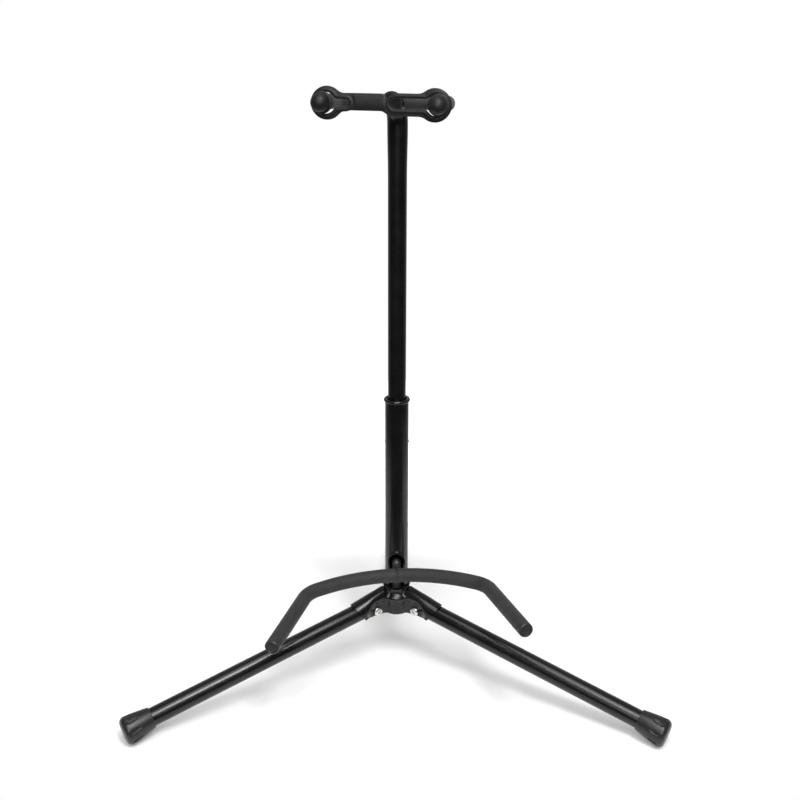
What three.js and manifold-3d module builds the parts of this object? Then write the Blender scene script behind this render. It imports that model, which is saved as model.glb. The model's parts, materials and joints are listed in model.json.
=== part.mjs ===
// A folding tubular guitar stand: three legs on a pressed steel hub, a slotted lower tube,
// a padded cradle whose stem stands inside that tube, and an upper tube with a crook,
// a padded yoke and a rubber strap. Millimetres, +Z up. The front of the stand faces -Y.

import * as THREE from 'three';
import { mergeVertices } from 'three/addons/utils/BufferGeometryUtils.js';
import Module from 'manifold-3d';

const wasm = await Module();
wasm.setup();
const radians = THREE.MathUtils.degToRad;
const degrees = THREE.MathUtils.radToDeg;
const mix = THREE.MathUtils.lerp;
const halfTurn = Math.PI;
const fullTurn = 2 * Math.PI;
const quarterTurn = Math.PI / 2;

// Driving dimensions: lengths in millimetres, angles in degrees

// Shared
const clearance = 0.3;          // gap left between pieces that touch
const overrun = 3;              // how far a cutting tool passes the surface that it cuts
const hair = 0.01;              // two points of an outline nearer than this are one
const legCount = 3;
const legSpread = 360 / legCount;

// Legs
const legTubeDiameter = 19.5;
const legTubeWall = 1.5;
const legSlope = 12.4;          // fall of a leg below the horizontal
const legReach = 317.5;         // from the shaft's axis to the tube's end, inside the foot
const tabHeight = 24;           // flattened end of a leg
const tabInnerEnd = 9.2;        // from the pivot to the tab's inner end
const tabFlatLength = 6;        // from the pivot to the end of the flat
const tabBlendLength = 16;      // from the flat to the round tube
const tabCornerRound = 1.8;

// Rubber feet
const footLength = 32;
const footCollarDiameter = 22;
const footDiameter = 30.4;
const footDroop = 1.6;          // how far the swollen end sits below the leg's axis
const footFlat = 0.5;           // depth of the facet worn flat on the floor
const footFluteCount = 8;
const footFluteLength = 14;
const footFluteWidth = 5.5;
const footFluteDepth = 1.4;
const footEndWall = 5;
const footEndRound = 6;
const footFluteMiddle = 21;     // from the collar's edge

// Hub plates, pressed from sheet
const sheet = 1.6;
const neckRise = 13.1;          // rim above the point where the legs' axes meet the shaft
const rimFlare = 0.7;
const neckBulge = 4.2;          // how far the pressed ridge stands out of the neck
const ridgeDepth = 12;          // from the rim to the widest line of that ridge
const ridgeTuck = 18;           // from the rim to the foot of that ridge
const hubHeight = 32;           // from the rim to the plates' lower edge
const ridgeHalfWidth = 8;       // beside the pivot screws
const ridgeStartDrop = 0.4;     // ridge crest below the rim, where it leaves the neck
const ridgeStartReach = 20;
const socketReach = 57;         // from the shaft's axis to the mouth of a leg socket
const socketSlant = 0.74;       // how far the mouth runs inwards for each millimetre down
const socketLowerEdgeRise = 3;  // lower edge at the mouth, above the rest of it
const ridgeOpenFrom = 30;       // the ridge starts to open into a leg socket this far out
const ridgeOpenTo = 46;         // and has the socket's full round here
const skirtBelowAxis = 3.2;     // the socket's round ends this far below the leg's axis
const rimFillet = 3;
const bulgeFillet = 7;
const webFillet = 5;

// Pivot screws and nuts
const pivotReach = 26;          // from the shaft's axis
const pivotBelowAxis = 8.1;     // below the leg's axis
const screwDiameter = 5;
const screwHeadDiameter = 10;
const screwHeadHeight = 3.1;
const screwCrown = 1.5;         // height of the head's rounded part
const screwCrownFlat = 3;       // diameter of the flat left on top of it
const screwTail = 1.4;          // thread that stands out of the nut
const driveWidth = 5.2;         // arms of the cross recess, tip to tip
const driveArm = 1.1;
const driveDepth = 1.7;
const nutWidth = 8;             // across flats
const nutHeight = 4;

// Lower tube
const lowerTubeDiameter = 25.4;
const lowerTubeWall = 1.2;
const lowerTubeLength = 251.7;
const lowerTubeSeat = 28.6;     // from the hub's rim down to the tube's lower end
const rimBeadDiameter = 4.1;
const slotWidth = 15.9;
const slotLength = 72;
const slotArch = 14.5;          // height of the slot's pointed upper end
const slotLipDiameter = 2.4;
const slotLipLeg = 2;           // how far the pressed lip runs down below that end
const buttonHoleBelowRim = 50;

// Socket moulding inside the hub
const socketFlange = 2.4;
const socketPlugHeight = 25;
const socketFloor = 1.7;
const socketTongueThickness = 3;
const socketTongueHeight = 12;

// Bush in the mouth of the lower tube
const bushLength = 18;
const bushRecess = 3.2;

// Upper tube
const upperTubeDiameter = 19.05;
const upperTubeWall = 1.2;
const upperTubeInsertion = 79.7;  // length held inside the lower tube, below its rim
const upperTubeRise = 283.6;    // from the lower tube's rim to the start of the crook
const crookRadius = 24;
const crookTip = 1.5;           // straight tube after the bend
const crookTurn = 11.5;         // the crook points this far to the left of straight ahead
const crookWiden = 0.7;         // the bend makes the tube wider by this on each side
const crookWidenLength = 50;    // and starts to do so this far below the crook
const glideFlange = 3;
const glideSpigot = 8;
const plugFlangeDiameter = 21.8;
const plugFlange = 2.4;
const plugSpigot = 4;

// Snap buttons and their spring
const buttonDiameter = 5;
const buttonDome = 1.2;         // height of the button's domed end
const buttonProud = 0.6;
const springStrip = 0.8;
const springWidth = 5.4;
const springSpread = 13.4;      // over the outside of the strip
const springDrop = 13;          // from the buttons to the start of the spring's bend
const springTail = 4.5;

// Cradle
const cradleRodDiameter = 9.5;
const cradleSleeveDiameter = 15.4;
const cradleAboveRim = 20.9;    // crossbar's axis above the hub's rim
const crossbarReach = 20.5;     // crossbar's axis in front of the shaft's axis
const crossbarRadius = 165;
const crossbarAngle = 29;       // half of the crossbar's bow
const shoulderLength = 7;       // straight between the bow and the arm's bend
const armBendRadius = 30;
const armBend = 44;
const armLength = 87;
const armClimb = 1.8;           // the right arm climbs by this, the left one falls
const cradleRoll = 2.5;         // the bar sits a little higher on the right
const cradleYaw = 1.2;          // and is turned a little to the left
const stemDiameter = 10.5;
const stemForward = 4;          // stem's axis in front of the shaft's axis
const stemTopAboveBar = 12;
const linkDiameter = 7;
const cradleCapLength = 7;
const cradleCapRound = 1.6;
const cradleCapBore = 4;

// Yoke
const yokeRodDiameter = 9;
const yokeSleeveDiameter = 14.4;
const yokeSpan = 109;           // between the prongs' axes
const yokeForward = 15;         // crossbar's axis in front of the shaft's axis
const yokeReach = 71;           // from the crossbar's axis to the balls' centres
const yokeRise = 3.8;           // the prongs rise towards their tips
const yokeBendRadius = 20;
const yokeSleeveStart = 13;     // from the middle of the crossbar to a sleeve's end
const ballDiameter = 17.4;
const ballWaistDiameter = 15;   // where the ball meets its flange
const ballFlangeDiameter = 20.8;
const ballFlange = 2.6;
const ballNeckDiameter = 13.6;  // the strap hangs on the necks
const ballNeck = 9.5;
const ballBoreDepth = 3;        // past the ball's centre

// Strap
const strapThickness = 3;
const strapBead = 4.3;          // round bead along the edges of the holes
const strapBeadProud = 0.4;     // the bead stands out past the band round a loop
const strapSetIn = 4.2;         // loops drawn in towards the middle by this
const strapDrop = 0.4;          // and hung down by this
const strapFillet = 12;         // where a loop runs into the band
const strapNarrowTop = 9;       // edges of the band above and below the line through the loops
const strapNarrowBottom = 6.3;
const strapWideTop = 9.9;
const strapWideBottom = 10.5;
const strapStepFrom = 0;        // the lower edge steps down between these places
const strapStepTo = 10;
const strapKeyEnd = 29.3;       // keyhole's end, left of the strap's middle
const strapKeyHeight = 6.4;
const strapKeySpread = 30;      // half of the angle that the keyhole opens in its loop
const strapSlotStart = 9;       // slot's end, right of the strap's middle
const strapSlotTop = 5.3;
const strapSlotBottom = 3.9;
const strapNotch = 6;           // notch's middle, right of the strap's middle
const strapNotchTop = 9.4;
const strapNotchBottom = 5.1;
const strapNotchDepth = 5.5;

// Facet counts
const tubeSides = 18;
const ballSides = 14;
const rodSides = 12;
const smallSides = 12;
const footSides = 24;
const archSides = 16;
const beadSides = 6;

// Sizes worked out from the ones above
const legRadius = legTubeDiameter / 2;
const legFall = Math.tan(radians(legSlope));
const legLean = Math.cos(radians(legSlope));
const legTubeEnd = legReach / legLean;
const footContact = legTubeEnd + footEndWall - footEndRound;
const footDepth = footDiameter / 2 + footDroop - footFlat;
const legAxisHeight = footContact * Math.sin(radians(legSlope)) + footDepth * legLean;
const lowerRadius = lowerTubeDiameter / 2;
const upperRadius = upperTubeDiameter / 2;
const rimHeight = legAxisHeight + neckRise;
const neckRadius = lowerRadius + clearance + sheet;
const hubBottom = rimHeight - hubHeight;
const tabThickness = 2 * legTubeWall;
const flangeOffset = tabThickness / 2 + clearance + sheet;
const pivotHeight = legAxisHeight - pivotReach * legFall - pivotBelowAxis;
const lowerTubeBottom = rimHeight - lowerTubeSeat;
const lowerTubeTop = lowerTubeBottom + lowerTubeLength;
const buttonHeight = lowerTubeTop - buttonHoleBelowRim;
const crossbarHeight = rimHeight + cradleAboveRim;
const upperTubeBottom = lowerTubeTop - upperTubeInsertion;
const crookStart = lowerTubeTop + upperTubeRise;
const crookHeight = crookStart + crookRadius;

// Turning geometry into solids and back

function solid(geometry) {
  const bare = geometry.clone();
  bare.deleteAttribute('normal');
  bare.deleteAttribute('uv');
  const merged = mergeVertices(bare);
  return new wasm.Manifold(new wasm.Mesh({
    numProp: 3,
    vertProperties: new Float32Array(merged.attributes.position.array),
    triVerts: new Uint32Array(merged.index.array),
  }));
}

function surface(manifold) {
  const { vertProperties, triVerts } = manifold.getMesh();
  const geometry = new THREE.BufferGeometry();
  geometry.setAttribute('position', new THREE.BufferAttribute(vertProperties, 3));
  geometry.setIndex(new THREE.BufferAttribute(triVerts, 1));
  return geometry;
}

function cut(body, ...tools) {
  return surface(tools.reduce((left, tool) => left.subtract(solid(tool)), solid(body)));
}

function join(body, ...others) {
  return surface(others.reduce((whole, other) => whole.add(solid(other)), solid(body)));
}

// Forms

// A closed body through a row of rings with as many points each; its first and last rings are filled
function skin(rings) {
  const sides = rings[0].length;
  const points = rings.flat();
  const faces = [];
  for (let ring = 0; ring < rings.length - 1; ring++) {
    for (let side = 0; side < sides; side++) {
      const next = (side + 1) % sides;
      const [a, b] = [ring * sides + side, ring * sides + next];
      faces.push([a, b, b + sides], [a, b + sides, a + sides]);
    }
  }
  const last = (rings.length - 1) * sides;
  for (let low = 0, high = sides - 1; low + 1 < high; low++, high--) {
    faces.push([low, high, low + 1], [last + low, last + low + 1, last + high]);
    if (low + 1 < high - 1) {
      faces.push([high, high - 1, low + 1], [last + high, last + low + 1, last + high - 1]);
    }
  }
  let volume = 0;
  for (const [a, b, c] of faces) {
    volume += points[a].dot(new THREE.Vector3().crossVectors(points[b], points[c]));
  }
  const outward = volume > 0 ? faces : faces.map(([a, b, c]) => [a, c, b]);
  const geometry = new THREE.BufferGeometry().setFromPoints(points);
  geometry.setIndex(outward.flat());
  return geometry;
}

// A ring of points: two half circles of radius `half` drawn apart until the ring is `tall` high
function stadium(centre, across, up, half, tall, sides) {
  const ring = [];
  for (let side = 0; side < sides; side++) {
    const turn = fullTurn * (side + 1 / 2) / sides;
    const lift = half * Math.sin(turn) + Math.sign(Math.sin(turn)) * (tall - half);
    ring.push(centre.clone().addScaledVector(across, half * Math.cos(turn)).addScaledVector(up, lift));
  }
  return ring;
}

function ellipse(centre, across, up, wide, tall, sides) {
  const ring = [];
  for (let side = 0; side < sides; side++) {
    const turn = fullTurn * (side + 1 / 2) / sides;
    const point = centre.clone().addScaledVector(across, wide * Math.cos(turn));
    ring.push(point.addScaledVector(up, tall * Math.sin(turn)));
  }
  return ring;
}

// Stations along a bent rod. A move is a straight run, or a turn of some radius and degrees to the
// left, and either can climb. The heading starts along +X turned by `yaw`.
function travel(start, yaw, moves) {
  const place = start.clone();
  let [heading, climb] = [radians(yaw), 0];
  const way = () => new THREE.Vector3(
    Math.cos(climb) * Math.cos(heading), Math.cos(climb) * Math.sin(heading), Math.sin(climb));
  const stations = [{ place: place.clone(), way: way() }];
  for (const move of moves) {
    const steps = move.steps ?? 1;
    const turn = radians(move.turn ?? 0) / steps;
    const lift = radians(move.climb ?? 0) / steps;
    const chord = move.turn ? 2 * move.radius * Math.sin(Math.abs(turn) / 2) : move.run / steps;
    for (let step = 0; step < steps; step++) {
      heading += turn / 2;
      climb += lift / 2;
      place.addScaledVector(way(), chord);
      heading += turn / 2;
      climb += lift / 2;
      stations.push({ place: place.clone(), way: way() });
    }
  }
  return stations;
}

// The same stations from their far end back to the first, which is left out
function backwards(stations) {
  return stations.slice(1).reverse().map(({ place, way }) => ({ place, way: way.clone().negate() }));
}

// A path that an extrusion follows from station to station
class Route extends THREE.Curve {
  constructor(stations) {
    super();
    this.stations = stations;
  }

  station(share) {
    return this.stations[Math.round(share * (this.stations.length - 1))];
  }

  getPointAt(share) {
    return this.station(share).place.clone();
  }

  getTangentAt(share) {
    return this.station(share).way.clone();
  }
}

// A round rod along such stations, or a hollow one
function rod(stations, radius, sides, bore = 0) {
  const section = new THREE.Shape().absarc(0, 0, radius, 0, fullTurn);
  if (bore) section.holes.push(new THREE.Path().absarc(0, 0, bore, 0, fullTurn));
  return new THREE.ExtrudeGeometry(section, {
    steps: stations.length - 1,
    curveSegments: sides / 2,
    extrudePath: new Route(stations),
  });
}

// A body through a row of rings whose last ring joins the first, such as a tube's two walls
function hoop(rings) {
  const sides = rings[0].length;
  const points = rings.flat();
  const faces = [];
  for (let ring = 0; ring < rings.length; ring++) {
    const after = (ring + 1) % rings.length;
    for (let side = 0; side < sides; side++) {
      const next = (side + 1) % sides;
      const [a, b] = [ring * sides + side, ring * sides + next];
      const [c, d] = [after * sides + side, after * sides + next];
      faces.push([a, b, d], [a, d, c]);
    }
  }
  let volume = 0;
  for (const [a, b, c] of faces) {
    volume += points[a].dot(new THREE.Vector3().crossVectors(points[b], points[c]));
  }
  const outward = volume > 0 ? faces : faces.map(([a, b, c]) => [a, c, b]);
  const geometry = new THREE.BufferGeometry().setFromPoints(points);
  geometry.setIndex(outward.flat());
  return geometry;
}

// A revolved body about +Z from [radius, height] pairs
function revolve(profile, sides) {
  const points = profile.map(([radius, height]) => new THREE.Vector2(radius, height));
  const closed = profile[0][0] > 0 ? [...points, points[0].clone()] : points;
  return new THREE.LatheGeometry(closed, sides).rotateX(quarterTurn);
}

// [radius, height] pairs round part of a circle
function arcPoints(radius, height, size, from, to, steps) {
  const pairs = [];
  for (let step = 0; step <= steps; step++) {
    const turn = radians(mix(from, to, step / steps));
    pairs.push([radius + size * Math.cos(turn), height + size * Math.sin(turn)]);
  }
  return pairs;
}

// A plain cylinder along +Z from one height to another
function post(radius, from, to, sides) {
  return revolve([[0, from], [radius, from], [radius, to], [0, to]], sides);
}

// A block between two corners
function block(low, high) {
  const size = new THREE.Vector3().subVectors(high, low);
  const middle = new THREE.Vector3().addVectors(low, high).multiplyScalar(1 / 2);
  return new THREE.BoxGeometry(size.x, size.y, size.z).translate(middle.x, middle.y, middle.z);
}

// Finishes
function finish(color, roughness, metalness) {
  return new THREE.MeshStandardMaterial({ color, roughness, metalness });
}

const blackPaint = () => finish(0x141414, 0.25, 0.4);
const blackPlastic = () => finish(0x1a1a1a, 0.5, 0);
const blackRubber = () => finish(0x232323, 0.6, 0);
const foam = () => finish(0x333333, 0.9, 0);
const zinc = () => finish(0xc8c8c4, 0.3, 1);
const springSteel = () => finish(0x8c8c8c, 0.35, 1);

const stand = new THREE.Group();

function piece(name, geometry, material, parent = stand) {
  geometry.computeVertexNormals();
  const mesh = new THREE.Mesh(geometry, material);
  mesh.name = name;
  parent.add(mesh);
  return mesh;
}

const frame = (parent, turn = 0) => {
  const group = new THREE.Group();
  group.rotation.z = radians(turn);
  parent.add(group);
  return group;
};

// Legs: each is drawn in a frame that runs down the leg's axis, +X outwards

const smooth = (share) => (1 - Math.cos(halfTurn * Math.min(Math.max(share, 0), 1))) / 2;

// Half width, half height and centre height of a leg's section, by its distance past the pivot
function legSection(past, inset) {
  const share = smooth((past - tabFlatLength) / tabBlendLength);
  const half = mix(tabThickness / 2, legRadius, share) - inset;
  const tall = mix(tabHeight / 2, legRadius, share) - inset;
  return { half, tall, lift: mix(legRadius - tabHeight / 2, 0, share) };
}

const pivotAlong = pivotReach / legLean + pivotBelowAxis * Math.sin(radians(legSlope));
const pivotDrop = pivotBelowAxis * legLean;

function legTube() {
  const across = new THREE.Vector3(0, 1, 0);
  const up = new THREE.Vector3(0, 0, 1);
  const ring = (past, inset, shorten = 0) => {
    const { half, tall, lift } = legSection(past, inset);
    const centre = new THREE.Vector3(pivotAlong + past, 0, lift);
    return stadium(centre, across, up, half, tall - shorten, tubeSides);
  };
  const blendShares = [0, 0.2, 0.4, 0.6, 0.8, 1];
  const boreShares = [1, 0.8, 0.6];
  const endPast = legTubeEnd - pivotAlong;
  const blendAt = (share) => tabFlatLength + share * tabBlendLength;
  const rings = [
    ring(-tabInnerEnd, 0, tabCornerRound),
    ring(tabCornerRound - tabInnerEnd, 0),
    ...blendShares.map((share) => ring(blendAt(share), 0)),
    ring(endPast, 0),
    ring(endPast, legTubeWall),
    ...boreShares.map((share) => ring(blendAt(share), legTubeWall)),
  ];
  const hole = post(screwDiameter / 2 + clearance, -legRadius, legRadius, smallSides)
    .rotateX(quarterTurn).translate(pivotAlong, 0, -pivotDrop);
  return cut(skin(rings), hole);
}

// Rubber foot: a swollen cup with lens-shaped flutes, cut flat where it stands
const footStart = legTubeEnd - (footLength - footEndWall);
const footSwellShares = [0, 0.12, 0.46, 0.64, 0.8];
const footSwellEndShare = 0.72;
const footEndSteps = 3;

function footRadius(share) {
  const swell = smooth(share / footSwellEndShare);
  return mix(footCollarDiameter, footDiameter, swell) / 2;
}

function rubberFoot() {
  const ringAt = (along, radius, droop, fluted) => {
    const ring = [];
    for (let side = 0; side < footSides; side++) {
      const turn = fullTurn * (side + 1 / 2) / footSides;
      const pitch = fullTurn / footFluteCount;
      const off = (((turn / pitch) % 1) - 1 / 2) * pitch * radius;
      const past = along - footFluteMiddle;
      const lens = 1 - (2 * off / footFluteWidth) ** 2 - (2 * past / footFluteLength) ** 2;
      const dip = fluted ? footFluteDepth * Math.sqrt(Math.max(lens, 0)) : 0;
      const size = radius - dip;
      const point = [footStart + along, size * Math.cos(turn), size * Math.sin(turn) - droop];
      ring.push(new THREE.Vector3(...point));
    }
    return ring;
  };
  const bore = legRadius + clearance;
  const boreEnd = footLength - footEndWall + clearance;
  const outer = footSwellShares.map((share) => {
    const along = share * footLength;
    return ringAt(along, footRadius(share), footDroop * smooth(share), true);
  });
  const tipRadius = footDiameter / 2;
  const tipBase = footLength - footEndRound;
  const ends = [];
  for (let step = 0; step <= footEndSteps; step++) {
    const turn = quarterTurn * step / footEndSteps;
    const radius = tipRadius - footEndRound * (1 - Math.cos(turn));
    ends.push(ringAt(tipBase + footEndRound * Math.sin(turn), radius, footDroop, false));
  }
  const inner = [ringAt(boreEnd, bore, 0, false), ringAt(0, bore, 0, false)];
  const capped = skin([...inner, ...outer, ...ends]);
  const floor = block(
    new THREE.Vector3(0, -footDiameter, -footDiameter),
    new THREE.Vector3(2 * legReach, footDiameter, 0),
  ).translate(0, 0, -legAxisHeight).rotateY(radians(-legSlope));
  return cut(capped, floor);
}

// Pivot hardware, drawn about the pivot's axis: +Z is from the nut to the head
const seatFace = flangeOffset + clearance;

function pivotScrew() {
  const headRadius = screwHeadDiameter / 2;
  const tail = -(seatFace + nutHeight + screwTail);
  const crownSteps = 3;
  const crown = [];
  for (let step = 0; step <= crownSteps; step++) {
    const turn = quarterTurn * step / crownSteps;
    const radius = mix(screwCrownFlat / 2, headRadius, Math.cos(turn));
    crown.push([radius, seatFace + screwHeadHeight - screwCrown * (1 - Math.sin(turn))]);
  }
  const profile = [
    [0, tail],
    [screwDiameter / 2 - screwTail / 3, tail],
    [screwDiameter / 2, tail + screwTail / 2],
    [screwDiameter / 2, seatFace],
    [headRadius, seatFace],
    ...crown,
    [0, seatFace + screwHeadHeight],
  ];
  const arm = (turn) => {
    const top = seatFace + screwHeadHeight;
    const low = new THREE.Vector3(-driveWidth / 2, -driveArm / 2, top - driveDepth);
    const high = new THREE.Vector3(driveWidth / 2, driveArm / 2, top + overrun);
    return block(low, high).rotateZ(radians(turn));
  };
  return cut(revolve(profile, smallSides), arm(45), arm(135));
}

function pivotNut() {
  const corners = 6;
  const corner = nutWidth / 2 / Math.cos(halfTurn / corners);
  const chamfer = corner - nutWidth / 2;
  const bore = screwDiameter / 2 + clearance;
  const profile = [
    [0, -seatFace - nutHeight],
    [corner - chamfer, -seatFace - nutHeight],
    [corner, -seatFace - nutHeight + chamfer],
    [corner, -seatFace],
    [0, -seatFace],
  ];
  return cut(revolve(profile, corners), post(bore, -seatFace - nutHeight - overrun, 0, smallSides));
}

// Hub plate: a third of the neck and half of two leg sockets, pressed from one sheet.
// The plate's outer skin is a grid: lines run from one socket round the neck to the other,
// and stations cross them from the seam or rim down to the lower edge.

const crestSteps = 4;
const tuckSteps = 2;
const webSteps = 1;
const legStationShares = [0, 0.16, 0.32, 0.5, 0.72, 1];
const filletSteps = 3;
const neckSteps = 3;
const socketHalfWidth = legRadius + clearance + sheet;
const socketCrest = (legRadius + clearance + sheet) / legLean;
const profileCount = crestSteps + tuckSteps + webSteps + 1;

const legAxisAt = (reach) => legAxisHeight - reach * legFall;
const crestAt = (reach) => {
  const start = rimHeight - ridgeStartDrop;
  const end = legAxisAt(socketReach) + socketCrest;
  return mix(start, end, (reach - ridgeStartReach) / (socketReach - ridgeStartReach));
};

// Offset from the leg's plane and height of line `row` where it passes `reach` from the shaft
function socketPoint(row, reach) {
  const open = smooth((reach - ridgeOpenFrom) / (ridgeOpenTo - ridgeOpenFrom));
  const half = mix(ridgeHalfWidth, socketHalfWidth, open);
  const flange = mix(flangeOffset, half, open);
  const top = crestAt(reach);
  const side = mix(rimHeight - ridgeDepth, legAxisAt(reach), open);
  const tuck = mix(rimHeight - ridgeTuck, legAxisAt(reach) - skirtBelowAxis, open);
  const low = hubBottom + socketLowerEdgeRise * open;
  if (row <= crestSteps) {
    const turn = quarterTurn * row / crestSteps;
    return [half * Math.sin(turn), side + (top - side) * Math.cos(turn)];
  }
  if (row <= crestSteps + tuckSteps) {
    const share = (row - crestSteps) / tuckSteps;
    return [mix(half, flange, smooth(share)), mix(side, tuck, share)];
  }
  return [flange, mix(tuck, low, (row - crestSteps - tuckSteps) / webSteps)];
}

// Radius and height of line `row` on the neck; the shares shape the rim, the groove and the ridge
const neckBulgeShares = [0.17, 0, 0.06, 0.72, 1];
const neckDropShares = [0, 0.2, 0.45, 0.74, 1];

function neckPoint(row) {
  if (row <= crestSteps) {
    const out = row === 0 ? rimFlare : neckBulge * neckBulgeShares[row];
    return [neckRadius + out, rimHeight - ridgeDepth * neckDropShares[row]];
  }
  if (row <= crestSteps + tuckSteps) {
    const share = (row - crestSteps) / tuckSteps;
    const out = neckBulge * (1 - smooth(share));
    return [neckRadius + out, rimHeight - mix(ridgeDepth, ridgeTuck, share)];
  }
  const share = (row - crestSteps - tuckSteps) / webSteps;
  return [neckRadius, rimHeight - mix(ridgeTuck, hubHeight, share)];
}

function filletOf(row) {
  if (row <= crestSteps) return mix(rimFillet, bulgeFillet, Math.sin(quarterTurn * row / crestSteps));
  return mix(bulgeFillet, webFillet, smooth((row - crestSteps) / tuckSteps));
}

// Half of one line, from the socket's mouth to the middle of the plate, as [along, off, height]
// in the leg's own plan frame
function plateLine(row) {
  const [ringRadius, ringHeight] = neckPoint(row);
  const fillet = filletOf(row);
  const [rootOff] = socketPoint(row, ridgeStartReach);
  const centreAlong = Math.sqrt((ringRadius + fillet) ** 2 - (rootOff + fillet) ** 2);
  const centreOff = rootOff + fillet;
  const meet = Math.atan2(centreOff, centreAlong);
  const mouthDrop = crestAt(socketReach) - socketPoint(row, socketReach)[1];
  const mouth = socketReach - socketSlant * mouthDrop;
  const line = legStationShares.map((share) => {
    const reach = mix(mouth, centreAlong, share);
    return [reach, ...socketPoint(row, reach)];
  });
  const rootHeight = line.at(-1)[2];
  for (let step = 1; step <= filletSteps; step++) {
    const share = step / filletSteps;
    const turn = mix(-quarterTurn, meet - halfTurn, share);
    const along = centreAlong + fillet * Math.cos(turn);
    line.push([along, centreOff + fillet * Math.sin(turn), mix(rootHeight, ringHeight, smooth(share))]);
  }
  for (let step = 1; step <= neckSteps; step++) {
    const turn = mix(meet, radians(legSpread / 2), step / neckSteps);
    line.push([ringRadius * Math.cos(turn), ringRadius * Math.sin(turn), ringHeight]);
  }
  return line;
}

function hubPlate() {
  const half = radians(legSpread / 2);
  const lines = [];
  for (let row = 0; row < profileCount; row++) {
    const points = plateLine(row).map(([along, off, height]) => (
      new THREE.Vector3(along, -off, height).applyAxisAngle(new THREE.Vector3(0, 0, 1), half)));
    const mirrored = points.slice(0, -1).reverse().map((p) => new THREE.Vector3(p.x, -p.y, p.z));
    lines.push([...points, ...mirrored]);
  }
  const stations = lines[0].length;
  const clampTo = (value, last) => Math.min(Math.max(value, 0), last);
  const at = (row, station) => lines[clampTo(row, profileCount - 1)][clampTo(station, stations - 1)];
  const rings = [];
  for (let station = 0; station < stations; station++) {
    const outer = [];
    const inner = [];
    for (let row = 0; row < profileCount; row++) {
      const point = at(row, station);
      const along = new THREE.Vector3().subVectors(at(row, station + 1), at(row, station - 1));
      const down = new THREE.Vector3().subVectors(at(row + 1, station), at(row - 1, station));
      const normal = new THREE.Vector3().crossVectors(down, along).normalize();
      outer.push(point);
      inner.push(point.clone().addScaledVector(normal, sheet));
    }
    rings.push([...outer, ...inner.reverse()]);
  }
  const tools = [half, -half].flatMap((turn) => {
    const far = Math.sign(turn) * overrun;
    const near = -Math.sign(turn) * clearance / 2;
    const seam = block(
      new THREE.Vector3(lowerRadius, Math.min(near, far), hubBottom - overrun),
      new THREE.Vector3(socketReach + overrun, Math.max(near, far), rimHeight + overrun),
    );
    const hole = post(screwDiameter / 2 + clearance, -socketHalfWidth, socketHalfWidth, smallSides)
      .rotateX(quarterTurn).translate(pivotReach, 0, pivotHeight);
    return [seam.rotateZ(turn), hole.rotateZ(turn)];
  });
  return cut(skin(rings), ...tools);
}

// Socket moulding: the lower tube stands on its flange and the cradle's stem stands in its bore
function hubSocket() {
  const seat = lowerTubeBottom - clearance;
  const plug = lowerRadius - lowerTubeWall - clearance;
  const bore = stemDiameter / 2 + clearance;
  const bottom = seat - socketFlange;
  const profile = [
    [0, bottom],
    [lowerRadius, bottom],
    [lowerRadius, seat],
    [plug, seat],
    [plug, seat + socketPlugHeight],
    [0, seat + socketPlugHeight],
  ];
  const tongues = [];
  for (let leg = 0; leg < legCount; leg++) {
    const tongue = block(
      new THREE.Vector3(lowerRadius - socketFlange, -socketTongueThickness / 2, bottom),
      new THREE.Vector3(neckRadius - clearance, socketTongueThickness / 2, seat),
    );
    tongues.push(tongue.rotateZ(radians(leg * legSpread) + quarterTurn));
  }
  const stemBore = post(bore, bottom + socketFloor, seat + socketPlugHeight + overrun, smallSides)
    .translate(0, -stemForward, 0);
  return cut(join(revolve(profile, tubeSides), ...tongues), stemBore);
}

// A cutter right through the shaft where the snap buttons stand
function buttonHoles() {
  const reach = lowerRadius + overrun;
  return post(buttonDiameter / 2 + clearance, -reach, reach, smallSides)
    .rotateY(quarterTurn).translate(0, 0, buttonHeight);
}

// Lower tube, with a rolled rim and a slot at the front for the cradle's link
function lowerTube() {
  const bore = lowerRadius - lowerTubeWall;
  const bead = rimBeadDiameter / 2;
  const middle = lowerRadius - lowerTubeWall / 2;
  const beadHeight = lowerTubeTop - bead;
  const beadSteps = 8;
  const lean = degrees(Math.acos((lowerTubeWall / 2) / bead));
  const profile = [
    [bore, lowerTubeBottom],
    [lowerRadius, lowerTubeBottom],
    ...arcPoints(middle, beadHeight, bead, -lean, 180 + lean, beadSteps),
  ];
  const slotTop = lowerTubeBottom + slotLength - slotArch;
  const slotHalf = slotWidth / 2;
  const slotBlock = block(
    new THREE.Vector3(-slotHalf, -lowerRadius - overrun, lowerTubeBottom - overrun),
    new THREE.Vector3(slotHalf, -lowerTubeWall, slotTop),
  );
  const archBlock = post(slotHalf, lowerTubeWall, lowerRadius + overrun, archSides)
    .rotateX(quarterTurn).scale(1, 1, slotArch / slotHalf).translate(0, 0, slotTop);
  const lipRadius = slotLipDiameter / 2;
  const [lipPath, lipRise] = [slotHalf + lipRadius / 2, slotArch + lipRadius / 2];
  const onTube = (x, z) => new THREE.Vector3(x, -Math.sqrt(middle ** 2 - x ** 2), z);
  const stations = [onTube(-lipPath, slotTop - slotLipLeg)];
  const lipSteps = 10;
  for (let step = 0; step <= lipSteps; step++) {
    const turn = halfTurn * (1 - step / lipSteps);
    stations.push(onTube(lipPath * Math.cos(turn), slotTop + lipRise * Math.sin(turn)));
  }
  stations.push(onTube(lipPath, slotTop - slotLipLeg));
  const lip = rod(stations.map((place, index) => {
    const before = stations[Math.max(index - 1, 0)];
    const after = stations[Math.min(index + 1, stations.length - 1)];
    return { place, way: new THREE.Vector3().subVectors(after, before).normalize() };
  }), lipRadius, beadSides);
  return cut(join(revolve(profile, tubeSides), lip), slotBlock, archBlock, buttonHoles());
}

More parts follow.
